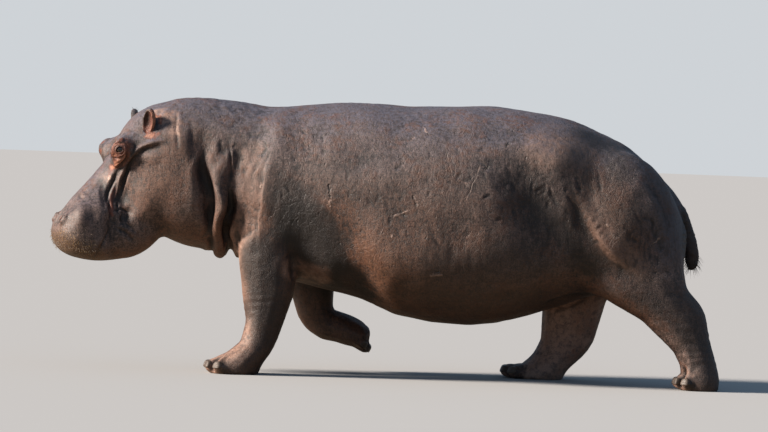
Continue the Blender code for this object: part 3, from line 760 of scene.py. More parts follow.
# %% Press the nostrils
NOSTRIL_STROKES = (
    ("ridge", ((0.660, 0.122), (0.700, 0.130), (0.742, 0.112)), 0.011, 0.008),
    ("ridge", ((0.664, 0.092), (0.704, 0.080), (0.740, 0.088)), 0.010, 0.007),
    ("groove", ((0.676, 0.106), (0.706, 0.104), (0.738, 0.098)), 0.0070, 0.024),
    ("groove", ((0.640, 0.000), (0.700, 0.000), (0.760, 0.000)), 0.014, 0.004),
    ("groove", ((0.540, 0.040), (0.556, 0.080), (0.560, 0.120)), 0.009, 0.003),
    ("groove", ((0.510, 0.030), (0.520, 0.070), (0.530, 0.110)), 0.008, 0.002),
)
carve("brow", NOSTRIL_STROKES, 90, fade=0.30)

# %% [markdown]
# ## Small wrinkles that still break the form
# Slack skin gathers into fine upright wrinkles on the neck and flank and
# into rings above the toes.  Waves of one direction, drowned and raised by a
# second, slower wave, read as wrinkles; even waves would read as cloth.

# %% Wrinkles
upright = clay.points * np.array([1.0, 1.0, 0.38])
level = clay.points * np.array([0.25, 0.25, 1.0])
patchy = soft_step(waver(clay.points, 0.45, 11), -0.4, 1.0)
flank = soft_step(clay.body[:, 2], 0.42, 0.60)
calm_face = soft_step(clay.head[:, 0], 0.20, 0.05)
calm_face[clay.body[:, 0] > -1.0] = 1.0
neck = bell(clay.body[:, 0] + 0.82, 0.22) * flank
legs = soft_step(clay.body[:, 2], 0.50, 0.36) * soft_step(clay.body[:, 2], 0.05, 0.12)
WRINKLES = (
    # squeezed points, wave length, seed, height, where
    (upright, 0.060, 12, 0.0007, flank * calm_face * (0.25 + 0.75 * patchy)),
    (upright, 0.045, 13, 0.0009, neck * (0.3 + 0.7 * patchy)),
    (level, 0.038, 14, 0.0006, legs * (0.3 + 0.7 * patchy)),
    (level, 0.020, 15, 0.0008, by_tail(clay.points, 0.36, 1.60)),
)
for squeezed, size, seed, depth, where in WRINKLES:
    clay.push += depth * waver(squeezed, size, seed, terms=16) * where
clay.settle()
print("wrinkles laid over", len(clay.points), "points")

# %% [markdown]
# ## Toes
# A hippopotamus stands on four toes that fan out round the middle of each
# foot.  The clefts between them are pressed in, and the back of each toe is
# raised a little.  The lifted foot has its fan in a tilted plane, so both
# its ways, ahead and down, are named with it.

# %% Part the toes
FOOT_WAYS = {
    "front_left": ((-1.0, -0.10, 0.0), (0.0, 0.0, -1.0)),
    "hind_left": ((-1.0, -0.05, 0.0), (0.0, 0.0, -1.0)),
    "hind_right": ((-1.0, 0.05, 0.0), (0.0, 0.0, -1.0)),
    "front_right": ((0.68, 0.0, -0.73), (-0.73, 0.0, -0.68)),
}
TOE_FAN = (-48.0, -16.0, 16.0, 48.0)
CLEFT_FAN = (-32.0, 0.0, 32.0)
NAIL_SIZE = (0.0165, 0.0250, 0.0205)
NAIL_SQUARENESS = 2.9
NAIL_LEAN = 0.32        # how far back a nail leans for each metre up
NAIL_WEAR = 0.80        # where the ground has worn it flat, as a share of its half height
NAIL_SINK = 0.0050      # how deep the nail sits in the toe
CLEFT_DEPTH = 0.021
CLEFT_WIDTH = 0.010
TOE_BACK = 0.006        # how far the back of a toe stands proud
TOE_WIDTH = 0.020


def fan_way(foot, angle):
    """A way out from the foot's middle, turned in the plane of the sole."""
    forward, downward = FOOT_WAYS[foot]
    ahead, down = Vector(forward).normalized(), Vector(downward).normalized()
    side = ahead.cross(down).normalized()
    turn = math.radians(angle)
    way = (ahead * math.cos(turn) + side * math.sin(turn)).normalized()
    return way, way.cross(down).normalized(), -down


def nail_frame(node):
    """The nail's middle, the way its toe points, across it and up it."""
    foot, number = node[len("nail_"):].rsplit("_", 1)
    return middle_of(node), *fan_way(foot, TOE_FAN[int(number) - 1])


def part_toes(foot):
    """Press a cleft between neighbouring toes and round the toes' backs."""
    first, first_way, _, rise = nail_frame("nail_" + foot + "_1")
    last, last_way, _, _ = nail_frame("nail_" + foot + "_4")
    reach = (first - last).length / (first_way - last_way).length
    away = clay.points - np.array(first - first_way * reach)
    near = np.linalg.norm(away, axis=1) < reach + 0.050
    height = away @ np.array(rise)
    above = soft_step(height, -0.010, 0.010)
    near = near * soft_step(height, 0.095, 0.045) * soft_step(clay.points[:, 2], 0.001, 0.020)
    for angle in CLEFT_FAN:
        way, across, _ = fan_way(foot, angle)
        ahead, aside = away @ np.array(way), away @ np.array(across)
        run = soft_step(ahead, reach - 0.100, reach - 0.010)
        clay.push -= CLEFT_DEPTH * run * bell(aside, CLEFT_WIDTH + 0.003 * run) * near
    for angle in TOE_FAN:
        way, across, _ = fan_way(foot, angle)
        ahead, aside = away @ np.array(way), away @ np.array(across)
        back = soft_step(ahead, reach - 0.110, reach - 0.060) * soft_step(ahead, reach, reach - 0.030)
        clay.push += TOE_BACK * back * bell(aside, TOE_WIDTH) * above * near


for foot in FOOT_WAYS:
    part_toes(foot)
clay.settle()
print("clefts:", len(CLEFT_FAN) * len(FOOT_WAYS))

# %% [markdown]
# ## Seats for the nails
# A nail is a squared ball, flatter than it is broad.  The skin behind it is
# pressed back to just under the nail's own face, and a rim of skin rises
# round it.  A few rounds of evening out close by take the edge off the rim.


# %% Press the seats
def round_nail(node):
    """Each point's height ahead of a nail's middle, and how far from its axis."""
    middle, way, across, rise = nail_frame(node)
    away = clay.points - np.array(middle)
    aside = np.abs(away @ np.array(across)) / NAIL_SIZE[1]
    upward = away @ np.array(rise) / NAIL_SIZE[2]
    ring = (aside**NAIL_SQUARENESS + np.abs(upward) ** NAIL_SQUARENESS) ** (1.0 / NAIL_SQUARENESS)
    return away @ np.array(way), ring, upward


nail_seat = {}
for node in NAILS:
    ahead, ring, upward = round_nail(node)
    reached = (ring < 0.60) & (ahead > 0.0) & (ahead < 0.040)
    level = float(np.percentile(ahead[reached], 80)) if reached.any() else 0.010
    nail_seat[node] = level - NAIL_SINK - NAIL_SIZE[0]
    bow = np.maximum(1.0 - ring**NAIL_SQUARENESS, 0.0) ** (1.0 / NAIL_SQUARENESS)
    lean = NAIL_LEAN * NAIL_SIZE[2] * upward
    face = nail_seat[node] + NAIL_SIZE[0] * bow - lean
    front = (ahead > -0.014) & (ahead < 0.045)
    sink = np.minimum(face - 0.0035 - ahead, 0.0) * soft_step(ring, 1.00, 0.88)
    edge = nail_seat[node] + 0.62 * NAIL_SIZE[0] - lean
    lift = np.clip(edge - ahead, 0.0, 0.009) * bell(ring - 1.12, 0.13) * (upward > -0.6)
    clay.points += (front * (sink + lift))[:, None] * np.array(nail_frame(node)[1])
by_nail = np.zeros(len(clay.points))
for node in NAILS:
    by_nail = highest(by_nail, near_place(clay.points, middle_of(node), 0.056, 0.044))
set_points(clay.mesh, even_out(clay.points, ends, 4, 0.4 * by_nail))
clay.refresh()
clay.settle()
print("seats pressed for", len(NAILS), "nails")

# %% [markdown]
# ## Fewer faces where the skin is plain
# The net is now far finer than the trunk needs.  Decimation merges faces
# where the surface is flat and keeps them where it bends; points with no
# weight in the group, round the eyes and nostrils, are kept as they are.

# %% Thin the net
SKIN_FACES = 190000


def thin_skin(piece, target):
    points = points_of(piece.data)
    keep = np.zeros(len(points))
    for side in SIDES.values():
        eye, nose = on_side(EYE_PLACE, side), on_side(NOSTRIL_PLACE, side)
        by_eye = near_place(points, eye, 0.058, 0.050)
        keep = highest(keep, by_eye, near_place(points, nose, 0.044, 0.036))
    group = piece.vertex_groups.new(name="plain")
    for index in np.flatnonzero(keep < 1.0):
        group.add([int(index)], float(1.0 - keep[index]), "REPLACE")
    sides = read_rows(piece.data.polygons, "loop_total", 1, np.int32)
    triangles = int((sides - 2).sum())
    thin = piece.modifiers.new("thin", "DECIMATE")
    thin.ratio = min(1.0, target / triangles)
    thin.vertex_group = group.name
    settled(piece)
    piece.vertex_groups.clear()
    return triangles


before = thin_skin(skin, SKIN_FACES)
skin.data.shade_smooth()
print("faces:", before, "->", len(skin.data.polygons))
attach(skin, "root")
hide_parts(*FLESH)

# %% [markdown]
# ## What the skin knows about itself
# The material has to know where creases are, for the painted shade in
# them, where the hide is thin and warm, and where the back faces the sky,
# for a painted reflection of it.  Those are numbers on the points of the
# net, worked out from the form and from named places: how hollow each
# point is, and how near it lies to the eye, the ear, the muzzle, the chest,
# the groin and the soles.

# %% Marks on the skin
clay = Clay(skin.data)
ends = edges_of(skin.data)


def hollow(points, normals, rounds):
    """How far each point lies below its smoothed neighbourhood."""
    smooth = even_out(points, ends, rounds, 0.5)
    return ((smooth - points) * normals).sum(axis=1)


def mark(name, values, mesh=skin.data):
    """Keep a value from 0 to 1 on each point, under a name for the material."""
    layer = mesh.attributes.new(name, "FLOAT", "POINT")
    layer.data.foreach_set("value", np.clip(values, 0.0, 1.0).astype(np.float32))


# Hollows are darkened as painted shade (the crease mark); ridges, where the value is negative, are
# lightened as painted light (the crest mark).
fine = hollow(clay.points, clay.normals, 6)
broad = hollow(clay.points, clay.normals, 60)
crease_shade = np.clip(fine / 0.0014, -1, 1) * 0.5 + np.clip(broad / 0.0060, -1, 1) * 0.5
mark("crest", -crease_shade)


def near_path(plane, path, reach, side=0, core=0.25):
    """1 on the line, fading to 0 at the reach, on the side that faces it."""
    best = np.zeros(len(clay.points))
    for one in (1, -1) if side == 0 else (side,):
        flat, facing = clay.plane(plane, one)
        distance = measure_line(flat, path)[0] + 0.10 * reach * waver(clay.points, reach, 3)
        best = np.maximum(best, soft_step(distance, reach, core * reach) * soft_step(facing, 0.02, 0.30))
    return best


near_ear = np.zeros(len(clay.points))
ear_shade = np.zeros(len(clay.points))
ear_cup = np.zeros(len(clay.points))
nostril = np.zeros(len(clay.points))
lid_shade = np.zeros(len(clay.points))
lie = hollow(clay.points, clay.normals, 10)
for side_name, side in SIDES.items():
    away = clay.points - np.array(middle_of("ear_" + side_name))
    low_corner, high_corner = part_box("ear_" + side_name)
    half = (high_corner - low_corner) / 2
    opening = soft_step(np.linalg.norm(away, axis=1), 0.085, 0.060)
    oval = np.hypot((away[:, 0] + 0.004) / (0.98 * half.x), away[:, 2] / (0.94 * half.z))
    outside = soft_step(side * clay.normals[:, 1] + 0.6 * clay.normals[:, 0], 0.35, -0.05)
    inner = opening * soft_step(oval, 1.05, 0.85) * outside * soft_step(-lie, 0.0016, 0.0004)
    behind, above = away[:, 0], away[:, 2]
    # A painted highlight on the rear rim of each ear, laid in the pink colour.
    rear_rim_highlight = opening * soft_step(-lie, 0.0002, 0.0014) * soft_step(behind, -0.002, 0.010)
    low = soft_step(above, -0.006, -0.034)
    # The ear's own pink inside the cup, with the painted highlight on the rear rim.
    ear_pink_and_highlight = highest(0.80 * rear_rim_highlight, inner * (0.42 + 0.14 * low), 0.12 * opening)
    near_ear = highest(near_ear, ear_pink_and_highlight * (1.0 if side_name == "left" else 0.3))
    ear_cup = highest(ear_cup, inner)
    # Painted shade over the top front of the inside of each ear.
    ear_shade = highest(ear_shade, inner * (1.0 - 0.90 * low) * soft_step(behind, 0.010, -0.006))
    nose = on_side(NOSTRIL_PLACE, side)
    nostril = highest(nostril, near_place(clay.points, nose, 0.045, 0.020))
    chosen, along, across, _, spread = eye_places(side)
    # Painted shade along the upper rim of the eye's opening.
    lid_shade[chosen] = bell(spread - 0.022, 0.006) * soft_step(across + 0.5 * along, -0.012, 0.006)
print("inside of the ears:", int((ear_cup > 0.5).sum()), "points")

# %% [markdown]
# ## Where the hide changes
# A hippopotamus is not one colour: thin skin glows pink and worn skin is
# bare and pale.  Light and shade are painted in as well: shade in folds,
# hollows and ear cups, on the sides that turn from the lamp and as the cast
# shadow behind the elbow; light on the crest beside that shadow, bounce
# light inside the far hind leg and the armpit, the sky's reflection on the
# back and a highlight on the rear rim of each ear.  The tables below name
# lines on the flank, the face and round the eye.  A mark is strongest on its
# line and fades over its reach.  Where a mark belongs to a whole form, such
# as the belly or the back, the way the skin faces tells it better than a
# line.

# %% Lines of the marks
# each row: strength, line, reach, share of the reach at full strength
EYE_GLOW = (
    (0.86, ((-0.018, -0.050), (0.006, -0.066), (0.032, -0.088)), 0.040, 0.3),
    (0.85, ((0.020, -0.026), (0.028, -0.036)), 0.014, 0.25),
    (0.46, ((0.040, 0.040), (0.052, 0.010), (0.048, -0.030)), 0.042, 0.5),
    (0.56, ((0.018, -0.010), (-0.018, -0.010)), 0.052, 0.6),
    (0.38, ((0.020, 0.050), (-0.020, 0.048), (-0.048, 0.010)), 0.030, 0.25),
    (0.42, ((0.040, -0.092), (0.056, -0.134)), 0.024, 0.25),
)
FACE_GLOW = (
    (0.80, ((0.092, -0.086), (0.078, -0.097), (0.062, -0.108)), 0.026, 0.1),
    (0.45, ((0.066, -0.104), (0.044, -0.122)), 0.018, 0.25),
    (0.42, ((0.420, -0.142), (0.475, -0.164), (0.530, -0.198)), 0.022, 0.25),
)
BARE_FACE = (
    (1.0, ((-0.040, -0.075), (-0.062, -0.105), (-0.070, -0.140), (-0.020, -0.170)), 0.050, 0.25),
    # The second row is a small white mark on the bridge of the nose.
    (0.6, ((0.372, -0.060), (0.398, -0.065)), 0.016, 0.25),
)
BARE_FLANK = (
    (0.8, ((-0.744, 0.571), (-0.722, 0.422), (-0.705, 0.263), (-0.745, 0.120)), 0.085, 0.25),
    (0.9, ((-0.700, 0.210), (-0.760, 0.130), (-0.860, 0.070)), 0.110, 0.4),
    (0.6, ((1.130, 0.940), (1.185, 0.810), (1.260, 0.715), (1.350, 0.640)), 0.105, 0.25),
    (0.5, ((0.840, 1.230), (0.930, 1.250), (1.050, 1.190)), 0.130, 0.25),
    (0.4, ((-0.700, 1.160), (-0.690, 1.010), (-0.690, 0.780)), 0.090, 0.25),
)
WARM_AND_LIT_FLANK = (
    # The first row is partly the skin's warm colour and partly painted light, on the lit crest beside
    # the painted shadow behind the elbow.
    (1.0, ((-0.200, 0.842), (-0.130, 0.700), (-0.040, 0.530), (0.070, 0.400)), 0.180, 0.25),
    (0.75, ((1.130, 0.980), (1.220, 0.820), (1.330, 0.700)), 0.230, 0.3),
    (0.8, ((-0.775, 0.740), (-0.750, 0.600), (-0.725, 0.440)), 0.085, 0.4),
)
# Painted shade on the flank and legs: the cast shadow behind the elbow, the shaded sides of the foreleg,
# hip, thigh and rump, the dark hollow of the flank and its lower part, and a weak darkening along its
# middle.
SHADED_FLANK = (
    (0.7, ((0.760, 0.990), (0.840, 0.900), (0.960, 0.860)), 0.220, 0.1),
    (0.6, ((1.040, 1.250), (1.100, 1.050), (1.150, 0.900)), 0.240, 0.1),
    (0.9, ((1.110, 1.340), (1.200, 1.240), (1.260, 1.120)), 0.190, 0.1),
    (0.5, ((-0.655, 0.650), (-0.640, 0.520), (-0.640, 0.420)), 0.095, 0.25),
    (0.95, ((0.980, 0.880), (1.030, 0.740), (1.120, 0.640)), 0.140, 0.2),
    (1.0, ((-0.620, 0.620), (-0.590, 0.420), (-0.570, 0.200)), 0.160, 0.45),
    (1.0, ((-0.430, 0.800), (-0.360, 0.680), (-0.280, 0.560), (-0.190, 0.420)), 0.165, 0.4),
    (1.0, ((-0.340, 0.830), (-0.285, 0.700), (-0.195, 0.520), (-0.115, 0.405)), 0.105, 0.70),
    (0.65, ((0.300, 0.600), (0.600, 0.580), (0.950, 0.640)), 0.260, 0.1),
    (0.22, ((-0.100, 0.900), (0.300, 0.900), (0.700, 0.900)), 0.420, 0.1),
    (0.6, ((1.300, 0.880), (1.300, 0.700), (1.400, 0.520)), 0.190, 0.1),
)
ARMPIT = ((-0.450, 0.560), (-0.370, 0.540), (-0.300, 0.520))
# Lines of the painted shadow behind the elbow and of the painted shade on the near foreleg.
ELBOW_SHADOW_LINE = ((-0.470, 0.900), (-0.430, 0.780), (-0.370, 0.660), (-0.290, 0.540))
FORELEG_SHADE_LINE = ((-0.650, 0.600), (-0.625, 0.470), (-0.610, 0.360))
LIP = ((0.820, -0.080), (0.820, -0.160), (0.790, -0.240))
JAW = ((0.060, -0.240), (0.300, -0.300))
print("lines of shade:", len(SHADED_FLANK), "and of bare skin:", len(BARE_FLANK + BARE_FACE))


def near_paths(plane, rows):
    """The strongest of the marks that a table names."""
    return highest(*(
        strength * near_path(plane, path, reach, core=core) for strength, path, reach, core in rows
    ))


# %% Marks from places and forms
along_body, height = clay.body[:, 0], clay.body[:, 2]
facing_ahead, facing_up = clay.normals[:, 0], clay.normals[:, 2]
outward = np.sign(clay.body[:, 1]) * clay.normals[:, 1]
lower_leg = soft_step(height, 0.62, 0.45)
haunch = soft_step(height, 0.55, 0.80)
armpit = near_path("flank", ARMPIT, 0.075, side=1, core=0.4)
# Painted shadow behind the elbow and painted shade on the near foreleg.  With the hollows, the ear cups
# and the upper lids they make the crease mark, all painted shade.
elbow_shadow = 0.95 * near_path("flank", ELBOW_SHADOW_LINE, 0.165, core=0.5) * (1.0 - 0.85 * armpit)
foreleg_shade = 0.45 * near_path("flank", FORELEG_SHADE_LINE, 0.110, core=0.4)
mark("crease_shade", highest(
    crease_shade * (1.0 - 0.85 * ear_cup), 0.70 * ear_shade, 0.60 * lid_shade, highest(elbow_shadow, foreleg_shade),
))

eye_glow = near_paths("eye", EYE_GLOW) * soft_step(np.abs(clay.head_normals[:, 1]), 0.08, 0.38)
# Near the ears the pink mark also holds the painted highlight on each rear rim.
mark("pink", highest(eye_glow, near_paths("face", FACE_GLOW), 0.25 * nostril, near_ear))

chest = soft_step(along_body, -0.64, -0.73) * soft_step(height, 0.80, 0.68)
chest *= soft_step(height, 0.28, 0.42) * soft_step(along_body, -0.83, -0.79)
mark("bare_and_bounce_light", highest(
    chest,
    near_paths("face", BARE_FACE),
    near_paths("flank", BARE_FLANK),
    0.8 * soft_step(height, 0.16, 0.06) * soft_step(facing_ahead, 0.1, -0.5),
    # Painted bounce light: the inner side of the far hind leg and the armpit are lightened where the
    # lamp does not reach.
    0.9 * soft_step(outward, 0.0, -0.6) * lower_leg * (along_body > 0.8),
    0.6 * armpit,
))

muzzle_front = soft_step(clay.head[:, 0], 0.755, 0.800) * (along_body < -1.2)
mark("tan", highest(near_path("face", LIP, 0.110, core=0.5), muzzle_front))

flank_warmth = soft_step(height, 1.16, 0.70) * soft_step(along_body, -1.05, -0.80)
belly = soft_step(facing_up, -0.15, -0.75) * soft_step(height, 0.26, 0.36)
mark("warm", highest(
    0.78 * (flank_warmth * soft_step(along_body, 0.95, 0.10)),
    near_paths("flank", WARM_AND_LIT_FLANK),
    armpit,
    0.95 * chest,
    0.8 * belly,
    0.6 * near_path("face", JAW, 0.220),
))

# Painted reflection of the sky on the surfaces that face up; on the rump the same slate is painted blue
# shade.
back = soft_step(facing_up, 0.15, 0.95) * soft_step(height, 0.70, 1.05)
mark("back", highest(back, 0.85 * soft_step(along_body, 1.32, 1.58) * haunch))

# The shade mark is painted shade: the flank rows above, the lower far foreleg, the outer sides of the
# legs away from their fronts, the rump and the inside of the ear cups, taken off the armpit.  The same
# mark also darkens the far ear and gives the tail its near-black colour.
fore = soft_step(along_body, -0.62, -0.52) * soft_step(along_body, 0.10, 0.00)
far_ear = near_place(clay.points, middle_of("ear_right"), 0.085, 0.060)
shade = highest(
    near_paths("flank", SHADED_FLANK),
    0.5 * soft_step(clay.body[:, 1], 0.02, 0.10) * soft_step(height, 0.52, 0.42) * fore,
    0.8 * soft_step(outward, -0.30, 0.10) * lower_leg * soft_step(facing_ahead, -0.45, 0.0),
    0.6 * soft_step(along_body, 1.30, 1.50) * haunch,
    by_tail(clay.points, 0.36, 1.60),
    0.75 * far_ear,
    0.50 * ear_shade,
)
mark("shade", shade * (1.0 - 0.75 * armpit))

muzzle = soft_step(clay.head[:, 0], 0.10, 0.45) * (along_body < -1.1)
mark("sleek", highest(muzzle, lower_leg * 0.5))
print("marks:", [layer.name for layer in skin.data.attributes if layer.data_type == "FLOAT"])

# %% [markdown]
# ## Eyeballs
# Each eyeball is a ball with a slight bulge for the cornea.  The iris is
# dark brown and the pupil is a level slit, both told as marks on its points.

# %% Make the eyeballs
IRIS_SPREAD = 0.0130
PUPIL = (0.0072, 0.0036)


def make_eyeball(name, side):
    middle, gaze, slit, lift = eye_frame(side)
    turn = Matrix((slit, lift, gaze)).transposed()
    if turn.determinant() < 0:
        turn = Matrix((-slit, lift, gaze)).transposed()
    place = Matrix.Translation(middle) @ turn.to_4x4()
    mesh = bpy.data.meshes.new(name)
    with reshaped(mesh) as work:
        bmesh.ops.create_uvsphere(work, u_segments=56, v_segments=36, radius=EYE_RADIUS)
        bmesh.ops.transform(work, matrix=place, verts=work.verts[:])
    points = points_of(mesh)
    away = points - np.array(middle)
    along, across = away @ np.array(slit), away @ np.array(lift)
    front = away @ np.array(gaze) > 0
    spread = np.hypot(along, across)
    bulge = 0.0016 * bell(spread, 0.011) * front
    set_points(mesh, points + away / EYE_RADIUS * bulge[:, None])
    iris = soft_step(spread, IRIS_SPREAD + 0.001, IRIS_SPREAD - 0.001) * front
    pupil = soft_step(np.hypot(along / PUPIL[0], across / PUPIL[1]), 1.1, 0.9) * front
    mark("iris", iris, mesh)
    mark("pupil", pupil, mesh)
    mesh.shade_smooth()
    return add_piece(name, mesh)


eyeballs = {}
for side_name, side in SIDES.items():
    eyeballs[side_name] = make_eyeball("eyeball_" + side_name, side)
    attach(eyeballs[side_name], "root")
    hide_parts("eye_" + side_name)
print("eyeballs:", sorted(eyeballs))

# %% [markdown]
# ## Nails
# Each toe ends in a short blunt nail, broader than it is tall, worn flat
# along its lower edge.  It grows out from under a rim of skin, so the skin
# was pressed in behind each nail and lifted round it.

# %% Make the nails
def make_nail(name, node, rows=22, columns=36):
    middle, way, across, rise = nail_frame(node)
    middle = middle + way * nail_seat[node]
    mesh = bpy.data.meshes.new(name)
    power = 2.0 / NAIL_SQUARENESS
    points = []
    for r in range(1, rows):
        tilt = math.pi * r / rows - math.pi / 2
        for c in range(columns):
            turn = 2 * math.pi * c / columns
            flat = [math.cos(tilt) * math.cos(turn), math.cos(tilt) * math.sin(turn), math.sin(tilt)]
            out = [math.copysign(abs(v) ** power, v) * h for v, h in zip(flat, NAIL_SIZE)]
            out[2] = max(out[2], -NAIL_WEAR * NAIL_SIZE[2])
            narrow = 1.0 - 0.16 * out[2] / NAIL_SIZE[2]
            ridge = 1.0 + 0.012 * math.sin(out[2] / NAIL_SIZE[2] * 19.0)
            reach = out[0] * ridge - NAIL_LEAN * out[2]
            points.append(middle + way * reach + across * (out[1] * narrow) + rise * out[2])
    top = middle + (rise - way * NAIL_LEAN) * NAIL_SIZE[2]
    bottom = middle - (rise - way * NAIL_LEAN) * NAIL_WEAR * NAIL_SIZE[2]
    points += [bottom, top]
    faces = []
    last = len(points) - 2
    for c in range(columns):
        n = (c + 1) % columns
        faces.append((last, n, c))
        faces.append(((rows - 2) * columns + c, (rows - 2) * columns + n, last + 1))
        for r in range(rows - 2):
            a, b = r * columns + c, r * columns + n
            faces.append((a, b, b + columns, a + columns))
    mesh.from_pydata([tuple(p) for p in points], [], faces)
    with reshaped(mesh) as work:
        bmesh.ops.recalc_face_normals(work, faces=work.faces[:])
    mesh.shade_smooth()
    return add_piece(name, mesh)


nail_pieces = []
for node in NAILS:
    nail = make_nail("horn_" + node, node)
    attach(nail, "root")
    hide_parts(node)
    nail_pieces.append(nail)
print("nails:", len(nail_pieces))

# %% [markdown]
# ## Building trees of nodes
# Bristles are made by a tree of geometry nodes and finishes by trees of
# shader nodes.  Both kinds are wired in the same way, so one helper puts a
# node down, sets its values and joins its inputs.  The helpers after it
# name the few steps that return in every finish.


# %% Node helpers
def put(tree, kind, links=None, **values):
    """A node whose inputs, by name or number, are joined to a socket or set."""
    made = tree.nodes.new(kind)
    for key, value in values.items():
        setattr(made, key, value)
    for key, value in (links or {}).items():
        socket = made.inputs[key]
        if isinstance(value, bpy.types.NodeSocket):
            tree.links.new(value, socket)
        else:
            socket.default_value = value
    return made


def calc(tree, operation, first, second=0.0, third=0.0):
    return put(tree, "ShaderNodeMath", {0: first, 1: second, 2: third}, operation=operation).outputs[0]


def vector_calc(tree, operation, first, second):
    return put(tree, "ShaderNodeVectorMath", {0: first, 1: second}, operation=operation).outputs[0]


def plus(tree, base, value, factor):
    """The base with the value times the factor on top of it."""
    return calc(tree, "MULTIPLY_ADD", value, factor, base)


def times(tree, *values):
    total = values[0]
    for value in values[1:]:
        total = calc(tree, "MULTIPLY", total, value)
    return total


def noise(tree, vector, scale, detail=4.0, roughness=0.55):
    made = put(tree, "ShaderNodeTexNoise", {
        "Vector": vector, "Scale": scale, "Detail": detail, "Roughness": roughness,
    })
    return made.outputs["Fac"]


def stretched(tree, vector, scale):
    return put(tree, "ShaderNodeMapping", {"Vector": vector, "Scale": scale}).outputs[0]


def remap(tree, value, low, high, to_low=0.0, to_high=1.0, curve="SMOOTHSTEP"):
    made = put(tree, "ShaderNodeMapRange", {
        "Value": value, "From Min": low, "From Max": high, "To Min": to_low, "To Max": to_high,
    }, interpolation_type=curve)
    return made.outputs[0]


def blend(tree, factor, first, second):
    """The first colour, covered by the second as far as the factor says."""
    first, second = ((*c, 1.0) if isinstance(c, tuple) else c for c in (first, second))
    made = put(tree, "ShaderNodeMix", data_type="RGBA", clamp_factor=True)
    for number, value in ((0, factor), (6, first), (7, second)):
        if isinstance(value, bpy.types.NodeSocket):
            tree.links.new(value, made.inputs[number])
        else:
            made.inputs[number].default_value = value
    return made.outputs[2]


def read_mark(tree, name):
    return put(tree, "ShaderNodeAttribute", attribute_name=name).outputs["Fac"]


def own_coordinates(tree):
    return put(tree, "ShaderNodeTexCoord").outputs["Object"]


print("node helpers:", [helper.__name__ for helper in (put, calc, noise, remap, blend)])

# %% [markdown]
# ## Bristles
# A hippopotamus is all but naked.  It keeps stiff bristles on the lips, a
# fringe on the ears and two rows of flat black ones at the tip of the tail.
# Geometry Nodes scatter points over a patch of skin, stand a thin tapering
# spike on each, lean it with the lie of the coat and bend it over.  The tree
# ends by making the instances real and giving them their material.


# %% The bristle tree
BRISTLE_INPUTS = (
    ("Skin", "NodeSocketGeometry", None),
    ("Density", "NodeSocketFloat", 1000.0),
    ("Length", "NodeSocketFloat", 0.02),
    ("Thickness", "NodeSocketFloat", 0.0006),
    ("Lean", "NodeSocketVector", (0, 0, 0)),
    ("Droop", "NodeSocketVector", (0, 0, 0)),
    ("Seed", "NodeSocketInt", 1),
    ("Material", "NodeSocketMaterial", None),
)
SPIKE_SIDES = 4


def standing_spikes(tree, given):
    """Spikes of random length stood on points scattered over the skin."""
    thick_here = put(tree, "GeometryNodeInputNamedAttribute", {"Name": "bristly"}, data_type="FLOAT")
    scatter = put(tree, "GeometryNodeDistributePointsOnFaces", {
        "Mesh": given["Skin"], "Seed": given["Seed"],
        "Density": calc(tree, "MULTIPLY", thick_here.outputs["Attribute"], given["Density"]),
    })
    spike = put(tree, "GeometryNodeMeshCone", {
        "Vertices": SPIKE_SIDES, "Side Segments": 4, "Radius Top": 0.12, "Radius Bottom": 1.0,
        "Depth": 1.0,
    }, fill_type="NONE")
    where = put(tree, "GeometryNodeInputPosition")
    split = put(tree, "ShaderNodeSeparateXYZ", {0: where.outputs[0]})
    rise = put(tree, "GeometryNodeStoreNamedAttribute", {
        "Geometry": spike.outputs["Mesh"], "Name": "rise", "Value": split.outputs["Z"],
    }, data_type="FLOAT", domain="POINT")
    way = vector_calc(tree, "ADD", scatter.outputs["Normal"], given["Lean"])
    turn = put(tree, "FunctionNodeAlignRotationToVector", {"Vector": way}, axis="Z")
    vary = put(tree, "FunctionNodeRandomValue", {
        "Min": 0.55, "Max": 1.25, "Seed": given["Seed"],
    }, data_type="FLOAT")
    size = put(tree, "ShaderNodeCombineXYZ", {
        "X": given["Thickness"], "Y": given["Thickness"],
        "Z": calc(tree, "MULTIPLY", vary.outputs["Value"], given["Length"]),
    })
    return put(tree, "GeometryNodeInstanceOnPoints", {
        "Points": scatter.outputs["Points"], "Instance": rise.outputs["Geometry"],
        "Rotation": turn.outputs[0], "Scale": size.outputs[0],
    }).outputs["Instances"]


def new_bristle_tree():
    tree = bpy.data.node_groups.new("bristles", "GeometryNodeTree")
    for name, kind, value in BRISTLE_INPUTS:
        socket = tree.interface.new_socket(name, in_out="INPUT", socket_type=kind)
        if value is not None:
            socket.default_value = value
    tree.interface.new_socket("Bristles", in_out="OUTPUT", socket_type="NodeSocketGeometry")
    given = put(tree, "NodeGroupInput").outputs
    spikes = standing_spikes(tree, given)
    where = put(tree, "GeometryNodeInputPosition")
    root = put(tree, "GeometryNodeStoreNamedAttribute", {
        "Geometry": spikes, "Name": "root", "Value": where.outputs[0],
    }, data_type="FLOAT_VECTOR", domain="INSTANCE")
    real = put(tree, "GeometryNodeRealizeInstances", {"Geometry": root.outputs["Geometry"]})
    height = put(tree, "GeometryNodeInputNamedAttribute", {"Name": "rise"}, data_type="FLOAT")
    square = calc(tree, "MULTIPLY", height.outputs["Attribute"], height.outputs["Attribute"])
    bend = put(tree, "ShaderNodeVectorMath", {0: given["Droop"], "Scale": square}, operation="SCALE")
    move = put(tree, "GeometryNodeSetPosition", {
        "Geometry": real.outputs["Geometry"], "Offset": bend.outputs[0],
    })
    dress = put(tree, "GeometryNodeSetMaterial", {
        "Geometry": move.outputs["Geometry"], "Material": given["Material"],
    })
    put(tree, "NodeGroupOutput", {0: dress.outputs["Geometry"]})
    return tree


bristle_tree = new_bristle_tree()
print("bristle tree:", len(bristle_tree.nodes), "nodes")

